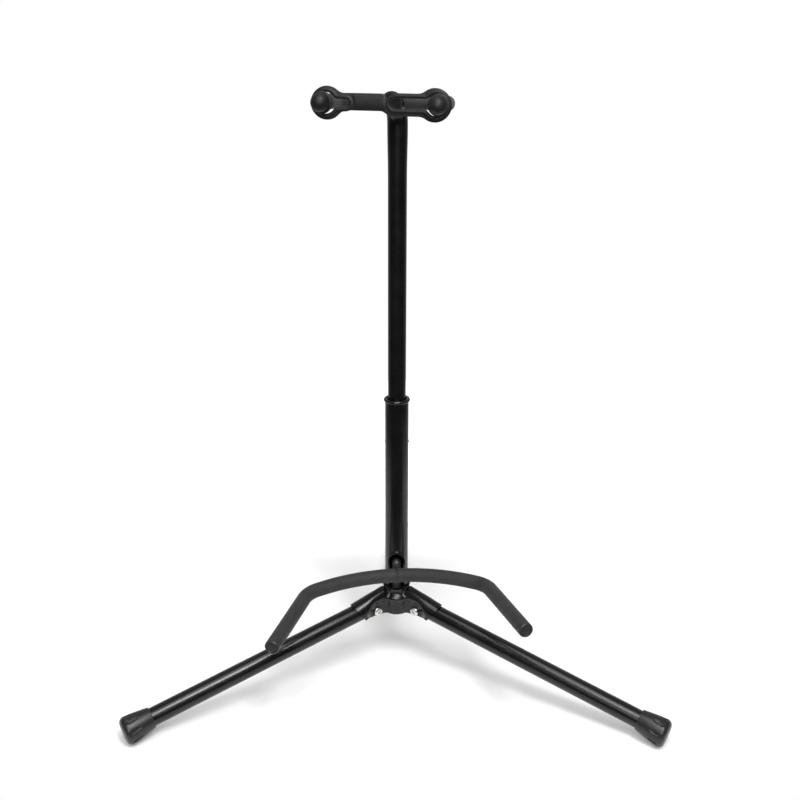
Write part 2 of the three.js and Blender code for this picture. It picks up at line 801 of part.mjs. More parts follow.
// Plastic bush that centres the upper tube in the mouth of the lower one
function shaftBush() {
  const outer = lowerRadius - lowerTubeWall - clearance;
  const inner = upperRadius + clearance;
  const top = lowerTubeTop - rimBeadDiameter - bushRecess;
  const bottom = top - bushLength;
  return revolve([[inner, bottom], [outer, bottom], [outer, top], [inner, top]], tubeSides);
}

// Upper tube: straight, then bent forwards; the bend leaves the tube a little wide and flat
const crookYaw = radians(-90 - crookTurn);
const crookWay = new THREE.Vector3(Math.cos(crookYaw), Math.sin(crookYaw), 0);
const crookSteps = 7;

function upperTube() {
  const side = new THREE.Vector3(-crookWay.y, crookWay.x, 0);
  const up = new THREE.Vector3(0, 0, 1);
  const stations = [{ forward: 0, height: upperTubeBottom, turn: 0, widen: 0 }];
  const widenSteps = 2;
  for (let step = 0; step < widenSteps; step++) {
    const share = step / widenSteps;
    const height = crookStart - crookWidenLength * (1 - share);
    stations.push({ forward: 0, height, turn: 0, widen: smooth(share) });
  }
  for (let step = 0; step <= crookSteps; step++) {
    const turn = quarterTurn * step / crookSteps;
    const forward = crookRadius * (1 - Math.cos(turn));
    stations.push({ forward, height: crookStart + crookRadius * Math.sin(turn), turn, widen: 1 });
  }
  stations.push({ forward: crookRadius + crookTip, height: crookHeight, turn: quarterTurn, widen: 1 });
  const ring = ({ forward, height, turn, widen }, inset) => {
    const centre = crookWay.clone().multiplyScalar(forward).setZ(height);
    const front = crookWay.clone().multiplyScalar(Math.cos(turn)).addScaledVector(up, -Math.sin(turn));
    const wide = upperRadius + crookWiden * widen - inset;
    const deep = upperRadius - crookWiden / 2 * widen - inset;
    return ellipse(centre, side, front, wide, deep, tubeSides);
  };
  const outer = stations.map((station) => ring(station, 0));
  const inner = stations.map((station) => ring(station, upperTubeWall)).reverse();
  const yokeHole = post(yokeRodDiameter / 2 + clearance, -lowerRadius, lowerRadius, smallSides)
    .rotateX(quarterTurn).rotateZ(crookYaw);
  const at = crookWay.clone().multiplyScalar(yokeForward);
  yokeHole.translate(at.x, at.y, crookHeight);
  return cut(hoop([...outer, ...inner]), buttonHoles(), yokeHole);
}

function upperTubeGlide() {
  const guide = lowerRadius - lowerTubeWall - clearance;
  const spigot = upperRadius - upperTubeWall - clearance;
  const bore = spigot - glideFlange / 2;
  const top = upperTubeBottom - clearance;
  return revolve([
    [bore, top - glideFlange],
    [guide - clearance, top - glideFlange],
    [guide, top - glideFlange / 2],
    [guide, top],
    [spigot, top],
    [spigot, top + glideSpigot],
    [bore, top + glideSpigot],
  ], tubeSides);
}

// End plug of the crook, drawn along +Z out of the tube
function crookPlug() {
  const spigot = upperRadius - crookWiden / 2 - upperTubeWall - clearance;
  const flange = plugFlangeDiameter / 2;
  const round = plugFlange / 2;
  return revolve([
    [0, -plugSpigot],
    [spigot, -plugSpigot],
    [spigot, clearance],
    [flange - round / 2, clearance],
    ...arcPoints(flange - round, clearance + round, round, 0, 80, 3),
    [0, clearance + plugFlange],
  ], smallSides);
}

// Snap buttons on a U of spring strip inside the upper tube
function buttonSpring() {
  const half = springSpread / 2 - springStrip / 2;
  const bottom = buttonHeight - springDrop;
  const path = [[-half, buttonHeight + springTail], [-half, bottom]];
  const bendSteps = 6;
  for (let step = 1; step < bendSteps; step++) {
    const turn = halfTurn * step / bendSteps;
    path.push([-half * Math.cos(turn), bottom - half * Math.sin(turn)]);
  }
  path.push([half, bottom], [half, buttonHeight + springTail]);
  const rings = path.map(([x, z], index) => {
    const [beforeX, beforeZ] = path[Math.max(index - 1, 0)];
    const [afterX, afterZ] = path[Math.min(index + 1, path.length - 1)];
    const along = new THREE.Vector2(afterX - beforeX, afterZ - beforeZ).normalize();
    const [outX, outZ] = [along.y * springStrip / 2, -along.x * springStrip / 2];
    const edge = springWidth / 2;
    return [[-1, -edge], [1, -edge], [1, edge], [-1, edge]].map(([face, y]) => (
      new THREE.Vector3(x + face * outX, y, z + face * outZ)));
  });
  return skin(rings);
}

// A button, drawn along +Z outwards from the shaft's axis
function snapButton() {
  const radius = buttonDiameter / 2;
  const inner = springSpread / 2 + clearance;
  const tip = lowerRadius + buttonProud;
  const dome = (radius ** 2 + buttonDome ** 2) / (2 * buttonDome);
  const edge = degrees(Math.acos(radius / dome));
  return revolve([
    [0, inner],
    [radius, inner],
    ...arcPoints(0, tip - dome, dome, edge, 90, 3),
  ], smallSides);
}

// Cradle: a padded rod bowed round the guitar's body, on a stem that stands in the hub
const seamGap = 2 * clearance;

// Stations from `lead` beside the bar's middle to the end of one arm, about the middle of the stand
function cradleHalf(side, lead, armRun) {
  const sign = side === 'left' ? -1 : 1;
  const start = Math.asin(lead / crossbarRadius);
  const sag = crossbarRadius * (1 - Math.cos(start));
  const leadTurn = degrees(start);
  const yaw = sign > 0 ? -leadTurn : 180 + leadTurn;
  return travel(new THREE.Vector3(sign * lead, -crossbarReach - sag, 0), yaw, [
    { radius: crossbarRadius, turn: -sign * (crossbarAngle - leadTurn), steps: 4 },
    { run: shoulderLength },
    { radius: armBendRadius, turn: -sign * armBend, climb: sign * armClimb, steps: 4 },
    { run: armRun },
  ]);
}

// The cradle's own frame, a little out of level; its stem and link stay true to the shaft
const cradle = new THREE.Group();
cradle.position.z = crossbarHeight;
cradle.rotation.set(0, radians(-cradleRoll), radians(cradleYaw), 'ZYX');
cradle.updateMatrix();
const intoCradle = cradle.matrix.clone().invert();
stand.add(cradle);

function cradleRod() {
  const right = cradleHalf('right', 0, armLength + cradleCapBore);
  const left = cradleHalf('left', 0, armLength + cradleCapBore);
  const bar = rod([...backwards(left), ...right], cradleRodDiameter / 2, rodSides);
  const stemRadius = stemDiameter / 2;
  const stemTop = crossbarHeight + stemTopAboveBar;
  const stemBottom = lowerTubeBottom - clearance - socketFlange + socketFloor + clearance;
  const stem = revolve([
    [0, stemBottom],
    [stemRadius, stemBottom],
    ...arcPoints(0, stemTop - stemRadius, stemRadius, 0, 90, 4),
  ], smallSides).translate(0, -stemForward, 0);
  const link = post(linkDiameter / 2, stemForward, crossbarReach, rodSides)
    .rotateX(quarterTurn).translate(0, 0, crossbarHeight);
  return join(bar, stem.applyMatrix4(intoCradle), link.applyMatrix4(intoCradle));
}

function cradleSleeve(side) {
  const stations = cradleHalf(side, seamGap / 2, armLength - clearance);
  const sleeve = rod(stations, cradleSleeveDiameter / 2, rodSides, cradleRodDiameter / 2 + clearance);
  const relief = post(linkDiameter / 2 + clearance, stemForward, crossbarReach, rodSides)
    .rotateX(quarterTurn).translate(0, 0, crossbarHeight);
  return cut(sleeve, relief.applyMatrix4(intoCradle));
}

// Round end cap, drawn along +Z from the end of the sleeve
function cradleCap() {
  const outer = cradleSleeveDiameter / 2;
  const bore = cradleRodDiameter / 2 + clearance;
  return revolve([
    [0, cradleCapBore + clearance],
    [bore, cradleCapBore + clearance],
    [bore, 0],
    [outer - cradleCapRound / 4, 0],
    [outer, cradleCapRound / 2],
    ...arcPoints(outer - cradleCapRound, cradleCapLength - cradleCapRound, cradleCapRound, 0, 90, 3),
    [0, cradleCapLength],
  ], smallSides);
}

// Turns a piece drawn along +Z so that it lies along `way`, and moves it to `place`
function aim(mesh, place, way) {
  mesh.quaternion.setFromUnitVectors(new THREE.Vector3(0, 0, 1), way.clone().normalize());
  mesh.position.copy(place);
  return mesh;
}

// Yoke: a U of rod through the crook, drawn flat with its prongs along -Y
function yokeHalf(sign, lead, prongRun) {
  const start = new THREE.Vector3(sign * lead, 0, 0);
  return travel(start, sign > 0 ? 0 : 180, [
    { run: yokeSpan / 2 - yokeBendRadius - lead },
    { radius: yokeBendRadius, turn: -sign * 90, steps: 4 },
    { run: prongRun },
  ]);
}

// Places on a prong behind the ball's centre
const ballBase = Math.sqrt((ballDiameter / 2) ** 2 - (ballWaistDiameter / 2) ** 2);
const flangeBack = ballBase + ballFlange;
const neckBack = flangeBack + ballNeck;
const prongLength = yokeReach - yokeBendRadius;

function yokeRod() {
  const run = prongLength + ballBoreDepth - clearance;
  const left = yokeHalf(-1, 0, run);
  return rod([...backwards(left), ...yokeHalf(1, 0, run)], yokeRodDiameter / 2, rodSides);
}

function yokeSleeve(sign) {
  const stations = yokeHalf(sign, yokeSleeveStart, prongLength - neckBack - clearance);
  return rod(stations, yokeSleeveDiameter / 2, rodSides, yokeRodDiameter / 2 + clearance);
}

// Rubber ball with a flange and a neck that the strap hangs on, drawn along +Z about the ball's centre
function yokeBall() {
  const ball = ballDiameter / 2;
  const neck = ballNeckDiameter / 2;
  const flange = ballFlangeDiameter / 2;
  const edge = ballFlange / 2;
  const bore = yokeRodDiameter / 2 + clearance;
  const waist = degrees(-Math.asin(ballBase / ball));
  return revolve([
    [0, ballBoreDepth],
    [bore, ballBoreDepth],
    [bore, -neckBack],
    [neck, -neckBack],
    [neck, -flangeBack],
    ...arcPoints(flange - edge, -flangeBack + edge, edge, -90, 90, 4),
    ...arcPoints(0, 0, ball, waist, 90, 6),
  ], ballSides);
}

// Strap: a flat rubber band with a loop at each end, drawn in the XZ plane of the yoke.
// The left loop opens into a keyhole and the right one into a long slot, and a bead runs round both.
const strapHole = ballNeckDiameter / 2 + clearance + Math.hypot(strapSetIn, strapDrop);
const strapCentre = yokeSpan / 2 - strapSetIn;
const strapPlane = flangeBack + clearance + strapBead / 2;
const loopSteps = 12;
const loopFilletSteps = 3;
const holeEndSteps = 4;
const stepShares = [0, 0.35, 0.65, 1];

// The fillet between a loop and an edge: its centre from the loop's, and the angle where they meet
function loopFillet(edge, loop) {
  const rise = edge + strapFillet;
  const turn = Math.asin(rise / (loop + strapFillet));
  return { rise, run: (loop + strapFillet) * Math.cos(turn), turn: degrees(turn) };
}

// A closed outline without the doubled points where its curves meet
function closedLine(pairs) {
  const points = pairs.map(([x, y]) => new THREE.Vector2(x, y));
  return points.filter((point, index) => point.distanceTo(points.at(index - 1)) > hair);
}

function strapOutline() {
  const loop = strapHole + strapBead - strapBeadProud;
  const edges = [strapWideTop, strapNarrowTop, strapNarrowBottom, strapWideBottom];
  const [wideTop, narrowTop, narrowBottom, wideBottom] = edges.map((edge) => loopFillet(edge, loop));
  const corner = (run, rise, from, to) => arcPoints(run, rise, strapFillet, from, to, loopFilletSteps);
  return closedLine([
    ...arcPoints(strapCentre, 0, loop, wideBottom.turn - 180, 180 - wideTop.turn, loopSteps),
    ...corner(strapCentre - wideTop.run, wideTop.rise, -wideTop.turn, -90),
    [strapNotch, strapWideTop],
    [strapNotch, strapNarrowTop],
    ...corner(narrowTop.run - strapCentre, narrowTop.rise, -90, narrowTop.turn - 180),
    ...arcPoints(-strapCentre, 0, loop, narrowTop.turn, 360 - narrowBottom.turn, loopSteps),
    ...corner(narrowBottom.run - strapCentre, -narrowBottom.rise, 180 - narrowBottom.turn, 90),
    ...stepShares.map((share) => [
      mix(strapStepFrom, strapStepTo, share),
      -mix(strapNarrowBottom, strapWideBottom, smooth(share)),
    ]),
    ...corner(strapCentre - wideBottom.run, -wideBottom.rise, 90, wideBottom.turn),
  ]);
}

// The edge of a hole, or a line that lies `out` beyond it
function keyholeEdge(out) {
  const key = strapKeyHeight / 2;
  return closedLine([
    ...arcPoints(-strapCentre, 0, strapHole + out, strapKeySpread, 360 - strapKeySpread, loopSteps),
    ...arcPoints(-strapKeyEnd - key, 0, key + out, -90, 90, holeEndSteps),
  ]);
}

function slotEdge(out) {
  const loop = strapHole + out;
  const top = degrees(Math.asin((strapSlotTop + out) / loop));
  const bottom = degrees(Math.asin((strapSlotBottom + out) / loop));
  const half = (strapSlotTop + strapSlotBottom) / 2;
  return closedLine([
    ...arcPoints(strapCentre, 0, loop, bottom - 180, 180 - top, loopSteps),
    ...arcPoints(strapSlotStart + half, strapSlotTop - half, half + out, 90, 270, holeEndSteps),
  ]);
}

// A round bead along such a line
function strapBeadAlong(points) {
  const up = new THREE.Vector3(0, 0, 1);
  return hoop(points.map((point, index) => {
    const before = points.at(index - 1);
    const after = points[(index + 1) % points.length];
    const across = new THREE.Vector3(after.y - before.y, before.x - after.x, 0).normalize();
    const centre = new THREE.Vector3(point.x, point.y, 0);
    return ellipse(centre, across, up, strapBead / 2, strapBead / 2, beadSides);
  }));
}

// A slab of an outline, as thick as told, about the strap's middle plane
function slab(outline, thickness) {
  return new THREE.ExtrudeGeometry(outline, { depth: thickness, bevelEnabled: false })
    .translate(0, 0, -thickness / 2);
}

function notchTool() {
  const [top, floor] = [strapWideTop + overrun, strapWideTop - strapNotchDepth];
  const corners = [
    [strapNotch - strapNotchBottom / 2, floor],
    [strapNotch + strapNotchBottom / 2, floor],
    [strapNotch + strapNotchTop / 2, strapWideTop],
    [strapNotch + strapNotchTop / 2, top],
    [strapNotch - strapNotchTop / 2, top],
    [strapNotch - strapNotchTop / 2, strapWideTop],
  ];
  return slab(new THREE.Shape(closedLine(corners)), strapThickness + overrun);
}

function neckStrap() {
  const lines = [keyholeEdge(strapBead / 2), slotEdge(strapBead / 2)];
  const outline = new THREE.Shape(strapOutline());
  outline.holes.push(...lines.map((points) => new THREE.Path(points)));
  const band = cut(slab(outline, strapThickness), notchTool());
  return join(band, ...lines.map(strapBeadAlong)).rotateX(quarterTurn);
}

// Assembly

const legNames = { front_left: -150, front_right: -30, rear: 90 };
for (const [name, turn] of Object.entries(legNames)) {
  const plan = frame(stand, turn);
  const sloped = new THREE.Group();
  sloped.position.z = legAxisHeight;
  sloped.rotation.y = radians(legSlope);
  plan.add(sloped);
  piece(`leg_${name}`, legTube(), blackPaint(), sloped);
  piece(`foot_${name}`, rubberFoot(), blackRubber(), sloped);
  const headSide = name === 'front_right' ? 1 : -1;
  for (const [part, geometry] of [['pivot_screw', pivotScrew()], ['pivot_nut', pivotNut()]]) {
    const mesh = piece(`${part}_${name}`, geometry, zinc(), plan);
    aim(mesh, new THREE.Vector3(pivotReach, 0, pivotHeight), new THREE.Vector3(0, -headSide, 0));
  }
}

const plateNames = { front: -90, right: 30, left: 150 };
for (const [name, turn] of Object.entries(plateNames)) {
  piece(`hub_plate_${name}`, hubPlate(), blackPaint(), frame(stand, turn));
}

piece('hub_socket', hubSocket(), blackPlastic());
piece('lower_tube', lowerTube(), blackPaint());
piece('shaft_bush', shaftBush(), blackPlastic());
piece('upper_tube', upperTube(), blackPaint());
piece('upper_tube_glide', upperTubeGlide(), blackPlastic());
piece('button_spring', buttonSpring(), springSteel());
for (const [name, sign] of [['left', -1], ['right', 1]]) {
  const button = piece(`snap_button_${name}`, snapButton(), zinc());
  aim(button, new THREE.Vector3(0, 0, buttonHeight), new THREE.Vector3(sign, 0, 0));
}
const crookEnd = crookWay.clone().multiplyScalar(crookRadius + crookTip).setZ(crookHeight);
aim(piece('crook_plug', crookPlug(), blackPlastic()), crookEnd, crookWay);

piece('cradle_rod', cradleRod(), blackPaint(), cradle);
for (const side of ['left', 'right']) {
  piece(`cradle_sleeve_${side}`, cradleSleeve(side), foam(), cradle);
  const { place, way } = cradleHalf(side, seamGap / 2, armLength).at(-1);
  aim(piece(`cradle_cap_${side}`, cradleCap(), blackRubber(), cradle), place, way);
}

const yoke = new THREE.Group();
yoke.position.copy(crookWay).multiplyScalar(yokeForward).setZ(crookHeight);
yoke.rotation.set(radians(-yokeRise), 0, radians(-crookTurn), 'ZYX');
stand.add(yoke);
piece('yoke_rod', yokeRod(), blackPaint(), yoke);
for (const [side, sign] of [['left', -1], ['right', 1]]) {
  piece(`yoke_sleeve_${side}`, yokeSleeve(sign), foam(), yoke);
  const place = new THREE.Vector3(sign * yokeSpan / 2, -yokeReach, 0);
  aim(piece(`yoke_ball_${side}`, yokeBall(), blackRubber(), yoke), place, new THREE.Vector3(0, -1, 0));
}
const strap = piece('neck_strap', neckStrap(), blackRubber(), yoke);
strap.position.set(0, strapPlane - yokeReach, -strapDrop);

// The origin is on the floor, at the middle of the stand's footprint
stand.updateMatrixWorld(true);
const footprint = new THREE.Box3().setFromObject(stand, true);
stand.position.set(-(footprint.min.x + footprint.max.x) / 2, -(footprint.min.y + footprint.max.y) / 2, 0);

export default stand;
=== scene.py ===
import json
from math import acos, asin, atan2, cos, degrees, pi, radians, sin, sqrt, tan

import bmesh
import bpy
from mathutils import Matrix, Vector


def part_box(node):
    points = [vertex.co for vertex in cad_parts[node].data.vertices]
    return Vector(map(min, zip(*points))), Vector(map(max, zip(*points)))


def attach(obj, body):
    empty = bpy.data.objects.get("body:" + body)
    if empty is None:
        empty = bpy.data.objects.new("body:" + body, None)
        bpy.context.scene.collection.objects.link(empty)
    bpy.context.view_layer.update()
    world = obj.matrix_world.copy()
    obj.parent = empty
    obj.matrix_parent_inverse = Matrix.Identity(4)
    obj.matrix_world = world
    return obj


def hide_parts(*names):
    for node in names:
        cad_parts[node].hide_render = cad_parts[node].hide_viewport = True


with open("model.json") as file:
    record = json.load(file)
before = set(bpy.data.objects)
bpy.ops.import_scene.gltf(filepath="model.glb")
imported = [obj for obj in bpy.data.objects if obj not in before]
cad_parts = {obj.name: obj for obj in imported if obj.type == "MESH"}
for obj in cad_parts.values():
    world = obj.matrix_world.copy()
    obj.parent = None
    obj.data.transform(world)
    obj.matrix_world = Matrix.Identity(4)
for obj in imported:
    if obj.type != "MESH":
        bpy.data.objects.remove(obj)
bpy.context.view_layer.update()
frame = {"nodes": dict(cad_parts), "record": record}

MM = 0.001
TURN = 2 * pi
QUARTER = pi / 2
UP = Vector((0, 0, 1))

# Sizes in millimetres and degrees, as in the part's source, with some of its diameters as radii
GAP = 0.3
SHEET = 1.6
LEG_RADIUS, LEG_WALL, LEG_SLOPE, LEG_REACH = 9.75, 1.5, 12.4, 317.5
TAB_HEIGHT, TAB_INNER_END, TAB_FLAT, TAB_BLEND, TAB_CORNER = 24, 9.2, 6, 16, 1.8
FOOT_LENGTH, FOOT_COLLAR, FOOT_DIAMETER, FOOT_DROOP = 32, 22, 30.4, 1.6
FOOT_FLAT, FOOT_END_WALL, FOOT_END_ROUND = 0.5, 5, 6
FLUTES, FLUTE_LENGTH, FLUTE_WIDTH, FLUTE_DEPTH, FLUTE_MIDDLE = 8, 14, 5.5, 1.4, 21
PIVOT_REACH, PIVOT_BELOW = 26, 8.1
LOWER_RADIUS, LOWER_WALL, LOWER_LENGTH, LOWER_DROP = 12.7, 1.2, 251.7, 28.6
RIM_BEAD = 4.1
SLOT_WIDTH, SLOT_LENGTH, SLOT_ARCH, SLOT_LIP_LEG = 15.9, 72, 14.5, 2
UPPER_RADIUS, UPPER_WALL, UPPER_INSERTION, UPPER_RISE = 9.525, 1.2, 79.7, 283.6
CROOK_RADIUS, CROOK_TIP, CROOK_TURN, CROOK_WIDEN, CROOK_WIDEN_LENGTH = 24, 1.5, 11.5, 0.7, 50
PLUG_SPIGOT = 4
NECK_RISE, NECK_BULGE = 13.1, 4.2
RIDGE_DEPTH, RIDGE_TUCK, HUB_HEIGHT, RIDGE_HALF = 12, 18, 32, 8
RIDGE_START_DROP, RIDGE_START_REACH, SOCKET_REACH, SOCKET_SLANT = 0.4, 20, 57, 0.74
SOCKET_EDGE_RISE, OPEN_FROM, OPEN_TO, SKIRT = 3, 30, 46, 3.2
RIM_FILLET, BULGE_FILLET, WEB_FILLET = 3, 7, 5
SCREW_HEAD, SCREW_HEIGHT, SCREW_CROWN, SCREW_FLAT = 5, 3.1, 1.5, 1.5
THREAD, THREAD_PAST_NUT, NUT_FLAT, NUT_HEIGHT = 2.5, 1.4, 4, 4
BUTTON, BUTTON_DOME, BUTTON_PROUD, BUTTON_BELOW = 2.5, 1.2, 0.6, 50
CRADLE_ROD, CRADLE_SLEEVE, CROSSBAR_REACH, CROSSBAR_RADIUS, CROSSBAR_ANGLE = 9.5, 15.4, 20.5, 165, 29
SHOULDER, ARM_RADIUS, ARM_BEND, ARM_LENGTH, ARM_CLIMB = 7, 30, 44, 87, 1.8
CRADLE_ABOVE, CRADLE_ROLL, CRADLE_YAW = 20.9, 2.5, 1.2
CAP_LENGTH, CAP_ROUND, CAP_BITE = 7, 1.6, 4
STEM_DIAMETER, STEM_TOP, STEM_FORWARD, LINK_DIAMETER = 10.5, 12, 4, 7
YOKE_ROD, YOKE_SLEEVE, YOKE_SPAN, YOKE_FORWARD, YOKE_REACH = 9, 14.4, 109, 15, 71
YOKE_RISE, YOKE_BEND = 3.8, 20
BALL, BALL_WAIST, BALL_BORE = 17.4, 15, 3
BALL_FLANGE, BALL_FLANGE_WIDTH, BALL_NECK, BALL_NECK_LENGTH = 20.8, 2.6, 13.6, 9.5
STRAP_THICK, STRAP_BEAD, STRAP_PROUD, STRAP_SET_IN, STRAP_DROP, STRAP_FILLET = 3, 4.3, 0.4, 4.2, 0.4, 12
NARROW_TOP, NARROW_BOTTOM, WIDE_TOP, WIDE_BOTTOM, STEP_FROM, STEP_TO = 9, 6.3, 9.9, 10.5, 0, 10
KEY_END, KEY_HEIGHT, KEY_SPREAD = 29.3, 6.4, 30
STRAP_SLOT_START, STRAP_SLOT_TOP, STRAP_SLOT_BOTTOM = 9, 5.3, 3.9
NOTCH, NOTCH_TOP, NOTCH_BOTTOM, NOTCH_DEPTH = 6, 9.4, 5.1, 5.5

# Sizes that only this script has, or that depart from the source's
SLOT_LIP_WIDTH, SLOT_LIP_PROUD, SLOT_LIP_OVER = 3.6, 1.1, 0.6  # a round bead of 2.4 there
THREAD_ROOT, THREAD_PITCH = 2.12, 0.8
BUTTON_BASE = 7
SLEEVE_SLACK, SLEEVE_ROUND = 0.1, 0.9  # the slack is GAP there
YOKE_SLEEVE_START = 10.8  # 13 there
STRAP_VOXEL = 0.45
STRAP_WEB = 1.1  # half of the sheet between the beads
STRAP_THICKEN = 1.7  # how much wider the loops' bands are above and below than at their outer ends

lean = cos(radians(LEG_SLOPE))
fall = tan(radians(LEG_SLOPE))
leg_end = LEG_REACH / lean
axis_height = ((leg_end + FOOT_END_WALL - FOOT_END_ROUND) * sin(radians(LEG_SLOPE))
               + (FOOT_DIAMETER / 2 + FOOT_DROOP - FOOT_FLAT) * lean)
rim_height = axis_height + NECK_RISE
neck_radius = LOWER_RADIUS + GAP + SHEET
hub_bottom = rim_height - HUB_HEIGHT
lower_bottom = rim_height - LOWER_DROP
lower_top = lower_bottom + LOWER_LENGTH
crook_start = lower_top + UPPER_RISE
crook_height = crook_start + CROOK_RADIUS
crossbar_height = rim_height + CRADLE_ABOVE
glide_low, glide_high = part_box("upper_tube_glide")
SHAFT = Vector(((glide_low.x + glide_high.x) / 2, (glide_low.y + glide_high.y) / 2, 0)) / MM
STAND = Matrix.Translation(SHAFT)
WORLD = Matrix.Scale(MM, 4) @ STAND
LOCAL = WORLD.inverted()  # for a piece cut in its own frame in millimetres and placed afterwards


def smooth(share):
    return (1 - cos(pi * min(max(share, 0), 1))) / 2


def mix(a, b, share):
    return a + (b - a) * share


def add(name, data):
    thing = bpy.data.objects.new(name, data)
    bpy.context.scene.collection.objects.link(thing)
    return thing


# Meshes

def make(name, points, faces, matrix=Matrix.Identity(4), sharp=35):
    """A closed piece from points in millimetres, with smooth faces and sharp edges where it turns hard."""
    mesh = bpy.data.meshes.new(name)
    place = WORLD @ matrix
    mesh.from_pydata([place @ Vector(p) for p in points], [], faces)
    made = bmesh.new()
    made.from_mesh(mesh)
    bmesh.ops.recalc_face_normals(made, faces=made.faces)
    made.to_mesh(mesh)
    made.free()
    mesh.shade_smooth()
    mesh.set_sharp_from_angle(angle=radians(sharp))
    return add(name, mesh)


def loft(name, rings, matrix=Matrix.Identity(4), ends=True, sharp=35):
    """A skin through rings of equal count: closed at both ends, or joined last to first."""
    sides = len(rings[0])
    points = [p for ring in rings for p in ring]
    faces = []
    count = len(rings)
    for ring in range(count - 1 if ends else count):
        here, after = ring * sides, (ring + 1) % count * sides
        for side in range(sides):
            next_side = (side + 1) % sides
            faces.append((here + side, here + next_side, after + next_side, after + side))
    if ends:
        faces.append(tuple(reversed(range(sides))))
        faces.append(tuple(range((count - 1) * sides, count * sides)))
    return make(name, points, faces, matrix, sharp)


def ellipse(centre, across, up, wide, tall, sides):
    turns = [TURN * (k + 0.5) / sides for k in range(sides)]
    return [centre + across * (wide * cos(turn)) + up * (tall * sin(turn)) for turn in turns]


def stadium(centre, across, up, half, tall, sides):
    ring = []
    for k in range(sides):
        turn = TURN * (k + 0.5) / sides
        lift = half * sin(turn) + (1 if sin(turn) > 0 else -1) * (tall - half)
        ring.append(centre + across * (half * cos(turn)) + up * lift)
    return ring


def revolve(name, profile, sides, matrix=Matrix.Identity(4), sharp=35):
    """A revolved piece about +Z from (radius, height) pairs, closed on the axis or on itself."""
    on_axis = profile[0][0] == 0
    points, faces, rows = [], [], []
    turns = [TURN * k / sides for k in range(sides)]
    for radius, height in profile:
        if radius == 0:
            rows.append([len(points)] * sides)
            points.append((0, 0, height))
            continue
        rows.append(list(range(len(points), len(points) + sides)))
        points += [(radius * cos(turn), radius * sin(turn), height) for turn in turns]
    pairs = list(zip(rows, rows[1:])) + ([] if on_axis else [(rows[-1], rows[0])])
    for row, after in pairs:
        for k in range(sides):
            n = (k + 1) % sides
            corners = [row[k], row[n], after[n], after[k]]
            faces.append(tuple(dict.fromkeys(corners)))
    return make(name, points, faces, matrix, sharp)


def arc(radius, height, size, start, end, steps):
    return [(radius + size * cos(radians(mix(start, end, k / steps))),
             height + size * sin(radians(mix(start, end, k / steps)))) for k in range(steps + 1)]


def travel(start, yaw, moves):
    """Places and directions along a path of straight runs and bends."""
    place, heading, climb = Vector(start), radians(yaw), 0.0

    def way():
        return Vector((cos(climb) * cos(heading), cos(climb) * sin(heading), sin(climb)))

    stations = [(place.copy(), way())]
    for move in moves:
        steps = move.get("steps", 1)
        turn, lift = radians(move.get("turn", 0)) / steps, radians(move.get("climb", 0)) / steps
        chord = 2 * move["radius"] * sin(abs(turn) / 2) if turn else move["run"] / steps
        for _ in range(steps):
            heading += turn / 2
            climb += lift / 2
            place += way() * chord
            heading += turn / 2
            climb += lift / 2
            stations.append((place.copy(), way()))
    return stations


def rings_along(stations, radius, sides):
    rings = []
    for place, way in stations:
        across = way.cross(UP).normalized()
        rings.append(ellipse(place, across, across.cross(way), radius, radius, sides))
    return rings


def rod(name, stations, radius, sides=48, bore=0, matrix=Matrix.Identity(4), round_ends=0):
    """A round bar or sleeve; round_ends softens the outer corner of its two ends."""
    outer = rings_along(stations, radius, sides)
    if round_ends:
        (first, way_in), (last, way_out) = stations[0], stations[-1]
        outer[0] = rings_along([(first + way_in * round_ends, way_in)], radius, sides)[0]
        outer[-1] = rings_along([(last - way_out * round_ends, way_out)], radius, sides)[0]
        steps = 4
        start, end = [], []
        for k in range(1, steps + 1):
            turn = QUARTER * k / steps
            size, off = radius - round_ends * (1 - cos(turn)), round_ends * (1 - sin(turn))
            start.insert(0, rings_along([(first + way_in * off, way_in)], size, sides)[0])
            end.append(rings_along([(last - way_out * off, way_out)], size, sides)[0])
        outer = start + outer + end
    if not bore:
        return loft(name, outer, matrix)
    inner = rings_along(stations, bore, sides)[::-1]
    return loft(name, outer + inner, matrix, ends=False)


def aim(place, way):
    """A frame at a place, with +Z along the way."""
    return Matrix.Translation(place) @ Vector(way).to_track_quat("Z", "Y").to_matrix().to_4x4()


def block(low, high):
    (x0, y0, z0), (x1, y1, z1) = low, high
    points = [(x, y, z) for x in (x0, x1) for y in (y0, y1) for z in (z0, z1)]
    faces = [(0, 1, 3, 2), (4, 6, 7, 5), (0, 4, 5, 1), (2, 3, 7, 6), (0, 2, 6, 4), (1, 5, 7, 3)]
    return points, faces


def settle(piece):
    """Applies the modifiers of a piece to its mesh."""
    graph = bpy.context.evaluated_depsgraph_get()
    mesh = bpy.data.meshes.new_from_object(piece.evaluated_get(graph))
    piece.modifiers.clear()
    piece.data = mesh
    return piece


def carve(piece, tools, how="DIFFERENCE", sharp=35):
    """Cuts tools from a piece or joins them to it, and stops if that leaves it empty or open."""
    for tool in tools:
        step = piece.modifiers.new(how.lower(), "BOOLEAN")
        step.operation, step.object, step.solver = how, tool, "EXACT"
    settle(piece)
    for tool in tools:
        bpy.data.objects.remove(tool)
    made = bmesh.new()
    made.from_mesh(piece.data)
    whole = len(made.faces) > 0 and all(len(edge.link_faces) == 2 for edge in made.edges)
    made.free()
    if not whole:
        raise RuntimeError(f"{piece.name} was lost or left open by a cut")
    piece.data.shade_smooth()
    piece.data.set_sharp_from_angle(angle=radians(sharp))
    return piece


def soften(piece, width, segments=2, angle=35):
    """A small rounded edge wherever two faces meet hard."""
    step = piece.modifiers.new("edge", "BEVEL")
    step.width, step.segments, step.limit_method = width * MM, segments, "ANGLE"
    step.angle_limit = radians(angle)
    step.harden_normals = True
    return piece


# Materials

